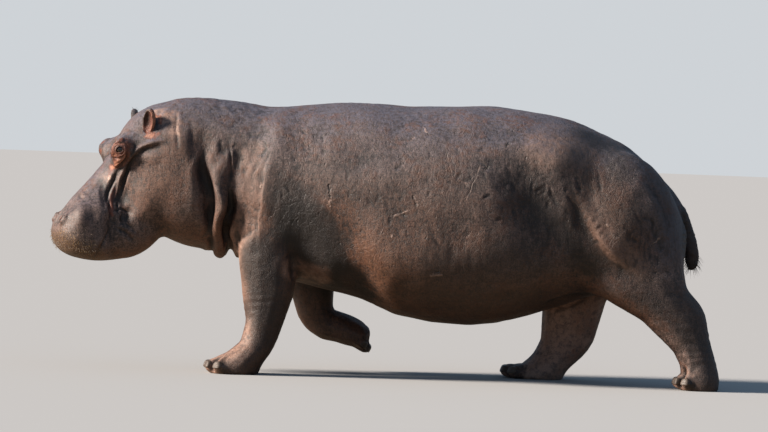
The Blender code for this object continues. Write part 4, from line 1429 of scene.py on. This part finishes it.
# %% [markdown]
# ## Shared effects
# Three effects return in several finishes, so each is a node group with
# named inputs: a mottle of two colours at two sizes, a crackle of fine
# creases with its height, and a scatter of small pits.  All of them read the
# piece's own coordinates, so they stay put when the view changes.


# %% Mottle, crackle and pits
def new_group(name, inputs, outputs):
    """A shader group: a tuple makes a vector input, a number a plain one."""
    group = bpy.data.node_groups.new(name, "ShaderNodeTree")
    for label, value in inputs.items():
        kind = "NodeSocketVector" if isinstance(value, tuple) else "NodeSocketFloat"
        socket = group.interface.new_socket(label, in_out="INPUT", socket_type=kind)
        socket.default_value = value
    for label in outputs:
        group.interface.new_socket(label, in_out="OUTPUT", socket_type="NodeSocketFloat")
    return group, put(group, "NodeGroupInput").outputs, put(group, "NodeGroupOutput").inputs


def make_mottle():
    """A slow and a quick cloud, as one value from 0 to 1."""
    group, given, out = new_group(
        "mottle", {"Vector": (0, 0, 0), "Slow": 4.0, "Quick": 30.0}, ("Cloud",),
    )
    slow = noise(group, given["Vector"], given["Slow"], 5.0, 0.6)
    quick = noise(group, given["Vector"], given["Quick"], 5.0, 0.65)
    both = calc(group, "ADD", calc(group, "MULTIPLY", slow, 0.6), calc(group, "MULTIPLY", quick, 0.4))
    group.links.new(remap(group, both, 0.33, 0.67), out["Cloud"])
    return group


def make_crackle():
    """Fine creases between small plates of skin: a mask and a height."""
    group, given, out = new_group(
        "crackle", {"Vector": (0, 0, 0), "Scale": 80.0, "Width": 0.10}, ("Crease", "Height"),
    )
    bent = noise(group, given["Vector"], 22.0, 3.0)
    shift = vector_calc(group, "MULTIPLY", bent, (0.012, 0.012, 0.012))
    moved = vector_calc(group, "ADD", given["Vector"], shift)
    cells = put(group, "ShaderNodeTexVoronoi", {
        "Vector": moved, "Scale": given["Scale"], "Randomness": 1.0,
    }, feature="DISTANCE_TO_EDGE")
    height = remap(group, cells.outputs["Distance"], 0.0, given["Width"], curve="LINEAR")
    group.links.new(height, out["Height"])
    group.links.new(calc(group, "SUBTRACT", 1.0, height), out["Crease"])
    return group


def make_pits():
    """Round dots scattered over the surface, 1 in the middle of each."""
    group, given, out = new_group(
        "pits", {"Vector": (0, 0, 0), "Scale": 60.0, "Size": 0.30}, ("Dot",),
    )
    cells = put(group, "ShaderNodeTexVoronoi", {
        "Vector": given["Vector"], "Scale": given["Scale"], "Randomness": 0.9,
    }, feature="F1")
    dot = remap(group, cells.outputs["Distance"], 0.0, given["Size"], 1.0, 0.0)
    group.links.new(dot, out["Dot"])
    return group


mottle, crackle, pits = make_mottle(), make_crackle(), make_pits()


def place_group(tree, group, **links):
    return put(tree, "ShaderNodeGroup", links, node_tree=group).outputs


def new_material(name, roughness):
    material = bpy.data.materials.new(name)
    material.use_nodes = True
    tree = material.node_tree
    shader = tree.nodes["Principled BSDF"]
    shader.inputs["Roughness"].default_value = roughness
    return material, tree, shader


print("groups:", [g.name for g in (mottle, crackle, pits)])

# %% [markdown]
# ## The hide
# Bare hide is dark umber, made paler on crests by painted light in a dust
# colour and darker in creases by painted shade.  It turns slate on the back,
# a painted reflection of the sky, and on the rump, where the slate is painted
# blue shade, and red brown on the chest, the legs and the belly.  Thin skin
# round the eyes, in the ears and at the corner of the mouth is orange pink,
# and the lips are tan between the pits of the bristles.

# %% Hide colours
DARK_UMBER = (0.020, 0.0125, 0.0115)
UMBER = (0.086, 0.053, 0.045)
# Dust colours, also laid on the ridges as painted light.
WARM_DUST_AND_CREST_LIGHT = (0.235, 0.102, 0.050)
DUST_AND_CREST_LIGHT = (0.235, 0.155, 0.130)
# A painted sky reflection on the back and painted blue shade on the rump.
SKY_LIT_SLATE = (0.108, 0.108, 0.146)
RED_BROWN = (0.138, 0.056, 0.030)
FLESH_PINK = (0.420, 0.180, 0.110)
LID_BROWN = (0.165, 0.053, 0.033)
# Bare skin, and painted bounce light inside the far hind leg and in the armpit.
BARE_AND_BOUNCE_TAN = (0.400, 0.245, 0.185)
LIP_TAN = (0.340, 0.195, 0.082)
LIP_SHADE = (0.078, 0.043, 0.023)
# Painted shade in creases and on shaded sides, and the dark of pits, pores and fine cracks.
SHADE_AND_CREASE_DARK = (0.0085, 0.0058, 0.0052)
SCAR = (0.500, 0.330, 0.260)
print("hide colours from", DARK_UMBER, "to", BARE_AND_BOUNCE_TAN)

# %% [markdown]
# ## Scars
# Tusks, thorns and stones leave their marks.  An open gash is a dark groove
# and a healed one is pink and stands a little proud.  Each is a soft line
# between two places, bent by a slow noise so that it never runs straight.
# They are drawn in the material, on the near side only, because they are
# finer than the faces of the mesh.

# %% Scars
SCAR_WANDER = 0.030     # how far a scar strays from its straight line
SCARS = (
    # start and end (x, z) on the near flank, half width, how deep and how pale
    ((-0.275, 1.010), (-0.270, 0.930), 0.010, 1.0, 0.0),
    ((-0.271, 0.930), (-0.272, 0.900), 0.009, -0.5, 1.0),
    ((0.070, 0.858), (0.142, 0.890), 0.008, -0.5, 0.9),
    ((0.165, 0.963), (0.185, 0.927), 0.009, 0.8, 0.1),
    ((0.190, 0.940), (0.196, 0.915), 0.007, -0.4, 0.7),
    ((0.205, 1.334), (0.228, 1.305), 0.008, -0.4, 0.9),
    ((0.140, 1.262), (0.158, 1.274), 0.010, 0.5, 0.6),
    ((0.298, 0.790), (0.306, 0.798), 0.008, -0.5, 1.0),
    ((0.055, 0.750), (0.066, 0.758), 0.008, -0.5, 0.9),
    ((0.275, 0.556), (0.330, 0.560), 0.009, -0.5, 0.7),
    ((0.300, 0.575), (0.318, 0.575), 0.009, 1.0, 0.0),
    ((0.542, 1.126), (0.548, 1.134), 0.013, 1.2, 0.0),
    ((0.651, 1.252), (0.659, 1.260), 0.012, 1.2, 0.0),
    ((0.515, 1.137), (0.436, 0.946), 0.005, 0.4, 0.35),
    ((0.330, 1.210), (0.360, 1.090), 0.005, 0.4, 0.30),
    ((-0.420, 1.100), (-0.400, 0.985), 0.006, 0.5, 0.20),
    ((-0.637, 0.985), (-0.632, 1.000), 0.012, -0.6, 1.0),
    ((1.190, 0.860), (1.196, 0.850), 0.010, -0.6, 1.0),
    ((1.430, 0.760), (1.475, 0.790), 0.007, -0.3, 0.7),
    # The last two rows are a small white mark on the bridge of the nose, far paler than the scars.
    ((-1.448, 0.996), (-1.441, 1.012), 0.011, -0.3, 3.0),
    ((-1.452, 0.972), (-1.449, 0.980), 0.009, -0.3, 2.4),
)


def make_scar():
    """1 along a line between two places, thinning to its ends."""
    group, given, out = new_group("scar", {
        "Vector": (0, 0, 0), "Start": (0, 0, 0), "Run": (1, 0, 0), "Width": 0.01,
    }, ("Line",))
    run = given["Run"]
    away = vector_calc(group, "SUBTRACT", given["Vector"], given["Start"])
    upper = put(group, "ShaderNodeVectorMath", {0: away, 1: run}, operation="DOT_PRODUCT")
    lower = put(group, "ShaderNodeVectorMath", {0: run, 1: run}, operation="DOT_PRODUCT")
    share = put(group, "ShaderNodeMath", {
        0: upper.outputs["Value"], 1: lower.outputs["Value"],
    }, operation="DIVIDE", use_clamp=True)
    foot = put(group, "ShaderNodeVectorMath", {0: run, "Scale": share.outputs[0]}, operation="SCALE")
    gap = vector_calc(group, "SUBTRACT", away, foot.outputs[0])
    far = put(group, "ShaderNodeVectorMath", {0: gap}, operation="LENGTH").outputs["Value"]
    line = remap(group, calc(group, "DIVIDE", far, given["Width"]), 1.0, 0.0)
    group.links.new(line, out["Line"])
    return group


scar_group = make_scar()


def hide_scars(tree, here):
    """All scars as a depth and as a paleness."""
    wander = put(tree, "ShaderNodeTexNoise", {"Vector": here, "Scale": 38.0, "Detail": 4.0})
    bend = vector_calc(tree, "MULTIPLY", wander.outputs["Color"], (SCAR_WANDER, 0.0, SCAR_WANDER))
    flat = stretched(tree, vector_calc(tree, "ADD", here, bend), (1.0, 0.0, 1.0))
    depth, pale = 0.0, 0.0
    for start, end, width, deep, paleness in SCARS:
        begin = on_body(start[0], 0.0, start[1]) + Vector((SCAR_WANDER, 0.0, SCAR_WANDER)) / 2
        run = Vector((end[0] - start[0], 0.0, end[1] - start[1]))
        line = place_group(
            tree, scar_group, Vector=flat, Start=(begin.x, 0.0, begin.z), Run=run, Width=width,
        )[0]
        depth = plus(tree, depth, line, deep)
        pale = plus(tree, pale, line, 0.55 * paleness)
    near = calc(tree, "LESS_THAN", put(tree, "ShaderNodeSeparateXYZ", {0: here}).outputs[1], 0.0)
    gate = times(tree, near, remap(tree, noise(tree, here, 55.0, 3.0), 0.36, 0.56))
    return times(tree, depth, gate), times(tree, pale, gate)


print("scars:", len(SCARS))

# %% [markdown]
# ## The relief of the hide
# The skin is as rough as orange peel, ribbed by fine upright wrinkles and
# cracked into small plates, with a bead round every bristle of the lips.
# All of it is a height in metres that bends the light, not the mesh.

# %% Relief
RELIEF = {
    # metres
    "grain": 0.0026, "lumps": 0.0026, "streak": 0.0026, "plates": 0.0006, "ridges": 0.0012,
    "dots": -0.0030, "scars": -0.0060, "beads": 0.0022,
}


def hide_heights(tree, here):
    """The relief of the hide in metres, and the masks that colour it."""
    grain = noise(tree, here, 130.0, 6.0, 0.75)
    lumps = noise(tree, here, 40.0, 5.0, 0.62)
    upright = stretched(tree, here, (1.0, 1.0, 0.24))
    level = stretched(tree, here, (0.30, 0.60, 1.0))
    weave = noise(tree, level, 62.0, 5.0, 0.68)
    ribs = noise(tree, upright, 70.0, 5.0, 0.68)
    streak = plus(tree, calc(tree, "MULTIPLY", weave, 0.38), ribs, 0.62)
    squeezed = stretched(tree, here, (1.0, 1.0, 0.60))
    fine = place_group(tree, crackle, Vector=squeezed, Scale=150.0, Width=0.12)
    broad = place_group(tree, crackle, Vector=squeezed, Scale=34.0, Width=0.06)
    wander = put(tree, "ShaderNodeTexNoise", {"Vector": here, "Scale": 24.0, "Detail": 4.0})
    drift = vector_calc(tree, "MULTIPLY", wander.outputs["Color"], (0.030, 0.030, 0.030))
    bent = vector_calc(tree, "ADD", stretched(tree, here, (1.4, 1.4, 0.7)), drift)
    dots = place_group(tree, pits, Vector=bent, Scale=15.0, Size=0.13)[0]
    slim = stretched(tree, bent, (1.6, 1.6, 0.5))
    nicks = place_group(tree, pits, Vector=slim, Scale=11.0, Size=0.09)[0]
    dots = calc(tree, "MAXIMUM", dots, nicks)
    pores = place_group(tree, pits, Vector=bent, Scale=27.0, Size=0.20)[0]
    place = noise(tree, here, 6.0, 4.0, 0.55)
    worn = remap(tree, place, 0.46, 0.64)
    patchy = noise(tree, stretched(tree, here, (1.0, 1.0, 0.7)), 13.0, 6.0, 0.62)
    scar_depth, scar_pale = hide_scars(tree, here)
    rough = plus(tree, 0.50, remap(tree, patchy, 0.40, 0.62), 0.60)
    pepper = noise(tree, here, 230.0, 4.0, 0.7)
    height = times(tree, grain, rough, RELIEF["grain"])
    height = plus(tree, height, lumps, RELIEF["lumps"])
    height = plus(tree, height, times(tree, streak, rough), RELIEF["streak"])
    height = plus(tree, height, fine["Height"], RELIEF["plates"])
    ridges = times(tree, broad["Height"], worn)
    height = plus(tree, height, ridges, RELIEF["ridges"])
    height = plus(tree, height, dots, RELIEF["dots"])
    height = plus(tree, height, scar_depth, RELIEF["scars"])
    beads = place_group(tree, pits, Vector=bent, Scale=96.0, Size=0.56)[0]
    lip_beads = times(tree, beads, read_mark(tree, "tan"))
    height = plus(tree, height, lip_beads, RELIEF["beads"])
    height = times(tree, height, plus(tree, 1.0, read_mark(tree, "sleek"), -0.60))
    return height, {
        "grain": grain, "lumps": lumps, "streak": streak, "fine": fine["Crease"],
        "dots": dots, "place": place, "depth": scar_depth, "pale": scar_pale, "beads": beads,
        "patchy": patchy, "pepper": pepper, "pores": pores,
    }


print("deepest relief:", max(abs(v) for v in RELIEF.values()), "m")

# %% [markdown]
# ## One coat over another
# The colour of the hide is built as a painter would: a dark ground, then
# dust, which on the ridges is painted light, then the slate of a painted sky
# reflection, bare skin and pink where their marks allow, and last the painted
# shade in every crease and over every shaded side.  Each cover is as thick
# as the product of its amounts, so a mark and a speckle together give a
# ragged edge.


# %% Hide
class Coat:
    """A colour that is built up from covers, one over the other."""

    def __init__(self, tree, ground):
        self.tree = tree
        self.color = ground

    def cover(self, shade, *amounts):
        self.color = blend(self.tree, times(self.tree, *amounts), self.color, shade)


def make_hide():
    material, tree, shader = new_material("hide", 0.52)
    here = own_coordinates(tree)
    height, look = hide_heights(tree, here)
    cloud = place_group(tree, mottle, Vector=here, Slow=3.0, Quick=17.0)[0]
    streak = remap(tree, look["streak"], 0.43, 0.58)
    speckle = remap(tree, look["grain"], 0.42, 0.59)
    blotch = remap(tree, look["lumps"], 0.37, 0.66)

    coat = Coat(tree, blend(tree, cloud, DARK_UMBER, UMBER))
    coat.cover(UMBER, blotch, 0.35)
    coat.cover(SHADE_AND_CREASE_DARK, remap(tree, look["patchy"], 0.47, 0.36), 0.70)
    # The warm mark is mostly the skin's red brown; on the crest behind the elbow it is partly painted
    # light.
    coat.cover(RED_BROWN, read_mark(tree, "warm"), remap(tree, blotch, -0.6, 1.0), 0.85)
    dust_and_ridge_light = blend(tree, times(tree, read_mark(tree, "warm"), 0.95), DUST_AND_CREST_LIGHT, WARM_DUST_AND_CREST_LIGHT)
    dusty = times(tree, streak, speckle, remap(tree, cloud, 0.15, 0.75, 0.55, 0.95))
    coat.cover(dust_and_ridge_light, dusty, plus(tree, 1.0, read_mark(tree, "warm"), -0.30))
    low_streak = remap(tree, look["streak"], 0.55, 0.45)
    low_grain = remap(tree, look["grain"], 0.57, 0.45)
    coat.cover(SHADE_AND_CREASE_DARK, low_streak, low_grain, 0.90)
    coat.cover(SHADE_AND_CREASE_DARK, remap(tree, look["pepper"], 0.49, 0.38), 0.55)
    coat.cover(dust_and_ridge_light, remap(tree, look["patchy"], 0.54, 0.66), remap(tree, speckle, -0.3, 0.9), 0.40)
    # Painted light: ridges lightened in the dust colour.
    coat.cover(dust_and_ridge_light, read_mark(tree, "crest"), remap(tree, speckle, -0.5, 0.8), 0.45)
    # Painted sky reflection on the back and painted blue shade on the rump.
    coat.cover(SKY_LIT_SLATE, read_mark(tree, "back"), remap(tree, streak, -0.6, 1.0), 0.80)
    # Bare skin, with painted bounce light inside the far hind leg and in the armpit.
    coat.cover(BARE_AND_BOUNCE_TAN, read_mark(tree, "bare_and_bounce_light"), remap(tree, blotch, -0.5, 0.9), 0.85)
    coat.cover(RED_BROWN, remap(tree, look["place"], 0.48, 0.62), blotch, 0.65)

    tan = times(tree, read_mark(tree, "tan"), remap(tree, blotch, -0.5, 0.7))
    lip = blend(tree, remap(tree, look["beads"], 0.15, 0.75), LIP_SHADE, LIP_TAN)
    coat.cover(lip, tan, 0.85)
    uneven = calc(tree, "MULTIPLY", calc(tree, "SUBTRACT", look["lumps"], 0.5), 1.3)
    # The pink mark also holds the painted highlight on the rear rim of each ear.
    ragged = calc(tree, "ADD", uneven, read_mark(tree, "pink"))
    coat.cover(LID_BROWN, remap(tree, ragged, 0.12, 0.50))
    coat.cover(FLESH_PINK, remap(tree, ragged, 0.45, 0.90))

    # Painted shade: the crease mark darkens hollows, ear cups, upper lids, the elbow and the foreleg;
    # the shade mark darkens the shaded sides.
    coat.cover(SHADE_AND_CREASE_DARK, read_mark(tree, "crease_shade"), 0.85)
    coat.cover(SHADE_AND_CREASE_DARK, read_mark(tree, "shade"), 0.78)
    coat.cover(SHADE_AND_CREASE_DARK, look["fine"], 0.30)
    coat.cover(SHADE_AND_CREASE_DARK, look["dots"], 0.60)
    coat.cover(SHADE_AND_CREASE_DARK, look["pores"], read_mark(tree, "warm"), 0.75)
    coat.cover(SHADE_AND_CREASE_DARK, look["depth"], 0.80)
    coat.cover(SCAR, look["pale"])
    tree.links.new(coat.color, shader.inputs["Base Color"])

    rough = plus(tree, 0.50, speckle, 0.18)
    tree.links.new(rough, shader.inputs["Roughness"])
    bump = put(tree, "ShaderNodeBump", {"Strength": 1.0, "Distance": 1.0, "Height": height})
    tree.links.new(bump.outputs[0], shader.inputs["Normal"])
    return material


hide = make_hide()
skin.data.materials.clear()
skin.data.materials.append(hide)
print("hide nodes:", len(hide.node_tree.nodes))

# %% [markdown]
# ## Eye, horn and bristle finishes
# The eyeball is wet, so a clear coat lies over dark brown iris and pupil.
# Horn is grey brown, rubbed paler along its ribs.  Bristles are near black.


# %% Small finishes
def make_eye_finish():
    material, tree, shader = new_material("wet_eye", 0.10)
    here = own_coordinates(tree)
    rays = remap(tree, noise(tree, here, 900.0, 3.0), 0.35, 0.65)
    iris = blend(tree, rays, (0.010, 0.006, 0.004), (0.028, 0.014, 0.007))
    white = blend(tree, noise(tree, here, 300.0), (0.020, 0.011, 0.009), (0.040, 0.022, 0.017))
    color = blend(tree, read_mark(tree, "iris"), white, iris)
    color = blend(tree, read_mark(tree, "pupil"), color, (0.002, 0.002, 0.002))
    tree.links.new(color, shader.inputs["Base Color"])
    shader.inputs["Coat Weight"].default_value = 1.0
    shader.inputs["Coat Roughness"].default_value = 0.03
    return material


def make_horn_finish():
    material, tree, shader = new_material("horn", 0.42)
    here = own_coordinates(tree)
    cloud = place_group(tree, mottle, Vector=here, Slow=25.0, Quick=160.0)[0]
    ribs = remap(tree, noise(tree, stretched(tree, here, (0.4, 0.4, 3.0)), 110.0, 3.0), 0.35, 0.65)
    color = blend(tree, cloud, (0.034, 0.024, 0.019), (0.105, 0.074, 0.056))
    color = blend(tree, calc(tree, "MULTIPLY", ribs, 0.5), color, (0.150, 0.112, 0.086))
    tree.links.new(color, shader.inputs["Base Color"])
    tree.links.new(plus(tree, 0.35, cloud, 0.25), shader.inputs["Roughness"])
    bump = put(tree, "ShaderNodeBump", {"Strength": 0.6, "Distance": 0.0012, "Height": ribs})
    tree.links.new(bump.outputs[0], shader.inputs["Normal"])
    return material


def make_bristle_finish(name, root_color, tip_color):
    material, tree, shader = new_material(name, 0.45)
    cloud = place_group(tree, mottle, Vector=own_coordinates(tree), Slow=30.0, Quick=300.0)[0]
    tree.links.new(blend(tree, cloud, root_color, tip_color), shader.inputs["Base Color"])
    return material


wet_eye, horn = make_eye_finish(), make_horn_finish()
black_bristle = make_bristle_finish("black_bristle", (0.006, 0.005, 0.005), (0.028, 0.020, 0.016))
tan_bristle = make_bristle_finish("tan_bristle", (0.070, 0.045, 0.030), (0.300, 0.210, 0.130))
for eyeball in eyeballs.values():
    eyeball.data.materials.append(wet_eye)
for nail in nail_pieces:
    nail.data.materials.append(horn)
print("finishes:", [m.name for m in (wet_eye, horn, black_bristle, tan_bristle)])

# %% [markdown]
# ## Planting the bristles
# Each patch is a copy of the skin's faces near one place, with a mark that
# says how thickly bristles stand there.  Every bristle remembers its root.
# Its small patch on the OFBake map lies at the root's place on a map of the
# skin, which is opened out like a globe round the middle of the patch.


# %% Patches of skin
MAP_PATCH = 0.003       # a bristle's share of its map


def skin_patch(name, weight):
    """The skin's faces where the weight is above zero."""
    bald = weight <= 0.01
    mesh = bpy.data.meshes.new(name)
    with reshaped(mesh, skin.data) as work:
        layer = work.verts.layers.float.new("bristly")
        for vert in work.verts:
            vert[layer] = float(weight[vert.index])
        bmesh.ops.delete(work, geom=[v for v in work.verts if bald[v.index]], context="VERTS")
    mesh.shade_smooth()
    return add_piece(name, mesh)


print("a bristle takes", MAP_PATCH, "of its map")

# %% [markdown]
# ## Maps and planting
# The map of a patch is a globe's: the turn round the middle and the tilt
# from its pole.  Planting works the tree in on a patch, reads back where
# each bristle has its root, and gives it its small square of the map.


# %% Plant
def globe_map(points, middle, pole, meridian):
    """Places on a globe's map round a middle: turn and tilt, both 0 to 1."""
    away = points - np.array(middle)
    away /= np.maximum(np.linalg.norm(away, axis=1), 1e-9)[:, None]
    pole, meridian = np.array(pole), np.array(meridian)
    third = np.cross(pole, meridian)
    turn = np.arctan2(away @ third, away @ meridian) / (2 * np.pi) + 0.5
    tilt = np.arccos(np.clip(away @ pole, -1.0, 1.0)) / np.pi
    return 0.01 + 0.98 * turn, 0.01 + 0.98 * tilt


def plant(name, weight, middle, settings, material):
    patch = skin_patch(name, weight)
    grow = patch.modifiers.new("grow", "NODES")
    grow.node_group = bristle_tree
    settings = dict(settings, Material=material)
    for item in bristle_tree.interface.items_tree:
        if item.item_type == "SOCKET" and item.in_out == "INPUT" and item.name in settings:
            grow[item.identifier] = settings[item.name]
    settled(patch)
    mesh = patch.data
    roots = read_rows(mesh.attributes["root"].data, "vector", 3)
    rise = read_rows(mesh.attributes["rise"].data, "value", 1)[:, 0]
    turn, tilt = globe_map(roots, middle, UP, AHEAD)
    corners = read_rows(mesh.loops, "vertex_index", 1, np.int32)[:, 0]
    ring_place = (corners % SPIKE_SIDES) / SPIKE_SIDES
    uv = np.stack([
        turn[corners] + (ring_place - 0.5) * MAP_PATCH,
        tilt[corners] + (rise[corners] - 0.5) * MAP_PATCH,
    ], axis=1)
    while mesh.uv_layers:
        mesh.uv_layers.remove(mesh.uv_layers[0])
    layer = mesh.uv_layers.new(name="OFBake")
    layer.data.foreach_set("uv", uv.astype(np.float32).ravel())
    mesh.shade_smooth()
    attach(patch, "root")
    return patch


print("planting on", len(skin.data.vertices), "points of skin")

# %% [markdown]
# ## Lips, tail and ears
# The lips carry short pale bristles, thickest at the front of the muzzle.
# The tail is flat at its tip, with long black ones along its two edges, and
# each ear has a fringe on its rim.

# %% Lips, tail and ears
marks = Clay(skin.data)
muzzle_middle = on_head(0.66, 0.0, -0.20)
lips = soft_step(marks.head[:, 0], 0.66, 0.80) * (marks.body[:, 0] < -1.2)
lips *= soft_step(marks.head[:, 2], -0.03, -0.10) * soft_step(marks.normals[:, 2], -0.80, -0.45)
whiskers = plant("lip_bristles", lips, muzzle_middle, {
    "Density": 9000.0, "Length": 0.014, "Thickness": 0.00075,
    "Lean": tuple(AHEAD * 0.1 - UP * 0.35), "Droop": tuple(-UP * 0.004), "Seed": 4,
}, tan_bristle)

tail_low, tail_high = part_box("tail")
tail_tip = soft_step(marks.body[:, 2], 0.700, 0.655) * (marks.body[:, 0] > 1.615)
tail_tip *= (marks.points[:, 1] > tail_low.y - 0.004) & (marks.points[:, 1] < tail_high.y + 0.004)
tail_tip *= np.clip(np.abs(marks.normals[:, 0]) * 1.3, 0.0, 1.0)
tail_tip *= soft_step(marks.body[:, 2], 0.56, 0.60)
tail_bristles = plant("tail_bristles", tail_tip, on_body(1.668, 0.0, 0.66), {
    "Density": 16000.0, "Length": 0.036, "Thickness": 0.0011,
    "Lean": (0.1, 0.0, -0.9), "Droop": (0.0, 0.0, -0.006), "Seed": 9,
}, black_bristle)
ear_fringes = []
for side_name in SIDES:
    low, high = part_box("ear_" + side_name)
    ear = middle_of("ear_" + side_name)
    rim = near_place(marks.points, ear, 0.105, 0.095)
    rim *= soft_step(-hollow(marks.points, marks.normals, 8), 0.0010, 0.0024)
    rim *= marks.points[:, 2] > low.z + 0.05
    ear_fringes.append(plant("ear_fringe_" + side_name, rim, ear, {
        "Density": 9000.0, "Length": 0.014, "Thickness": 0.0005,
        "Lean": (0.0, 0.0, 0.3), "Droop": (0.0, 0.0, -0.002), "Seed": 12,
    }, black_bristle))
for piece in (whiskers, tail_bristles, *ear_fringes):
    print(piece.name, len(piece.data.polygons), "faces")

# %% [markdown]
# ## Camera, floor and light
# The camera stands far off with a long lens, nearly level with the animal's
# side, and leans with the slope it stands on.  One large warm lamp from
# ahead and to the left rakes the folds; a pale surround fills the shade.

# %% Camera
LEAN = math.radians(2.1)
RISE = math.radians(1.5)
LENS = 250.0
SENSOR = 36.0
VIEW_WIDTH = 4.107
AIM_ASIDE = 0.0481
AIM_ABOVE = 0.8503
AIM_DROP = 0.006
forward = Vector((0.0, math.cos(RISE), -math.sin(RISE)))
plain_up = Vector((0.0, math.sin(RISE), math.cos(RISE)))
right = Vector((math.cos(LEAN), 0.0, 0.0)) + plain_up * math.sin(LEAN)
upward = Vector((-math.sin(LEAN), 0.0, 0.0)) + plain_up * math.cos(LEAN)
aim = BODY + right * AIM_ASIDE + upward * AIM_ABOVE - Vector((0.0, 0.0, AIM_DROP))
away = LENS / SENSOR * VIEW_WIDTH
lens = bpy.data.cameras.new("camera")
lens.lens = LENS
lens.clip_end = 200.0
camera = add_piece("camera", lens)
turn = Matrix((right, upward, -forward)).transposed().to_4x4()
camera.matrix_world = Matrix.Translation(aim - forward * away) @ turn
bpy.context.scene.camera = camera
print("camera", round(away, 2), "m away")

# %% Floor and light
def make_floor():
    mesh = bpy.data.meshes.new("floor")
    with reshaped(mesh) as work:
        bmesh.ops.create_circle(work, cap_ends=True, segments=96, radius=70.0)
    floor = add_piece("floor", mesh)
    material, tree, shader = new_material("floor_paint", 0.85)
    shader.inputs["Base Color"].default_value = (0.20, 0.160, 0.110, 1.0)
    pale = put(tree, "ShaderNodeBsdfDiffuse", {"Color": (0.40, 0.40, 0.40, 1.0)})
    seen = tree.nodes.new("ShaderNodeLightPath").outputs["Is Camera Ray"]
    both = put(tree, "ShaderNodeMixShader", {0: seen, 1: shader.outputs[0], 2: pale.outputs[0]})
    tree.links.new(both.outputs[0], tree.nodes["Material Output"].inputs["Surface"])
    floor.data.materials.append(material)
    return floor


def add_sun(name, way, strength, color, softness):
    sun = bpy.data.lights.new(name, "SUN")
    sun.energy = strength
    sun.color = color
    sun.angle = math.radians(softness)
    lamp = add_piece(name, sun)
    lamp.rotation_euler = (-Vector(way)).to_track_quat("-Z", "Y").to_euler()
    return lamp


make_floor()
add_sun("key_lamp", (-0.870, -0.145, 0.440), 9.4, (1.0, 0.89, 0.78), 12.0)


def add_surround():
    """A pale wall to the eye, and a weak blue light on the animal."""
    world = bpy.data.worlds.new("surround")
    bpy.context.scene.world = world
    world.use_nodes = True
    tree = world.node_tree
    fill = tree.nodes["Background"]
    fill.inputs["Color"].default_value = (0.50, 0.72, 1.0, 1.0)
    fill.inputs["Strength"].default_value = 0.36
    wall = put(tree, "ShaderNodeBackground", {"Color": (0.62, 0.65, 0.68, 1.0), "Strength": 1.0})
    seen = tree.nodes.new("ShaderNodeLightPath").outputs["Is Camera Ray"]
    both = put(tree, "ShaderNodeMixShader", {0: seen, 1: fill.outputs[0], 2: wall.outputs[0]})
    tree.links.new(both.outputs[0], tree.nodes["World Output"].inputs["Surface"])


add_surround()
bpy.context.scene.view_settings.view_transform = "Standard"
print("stage set")
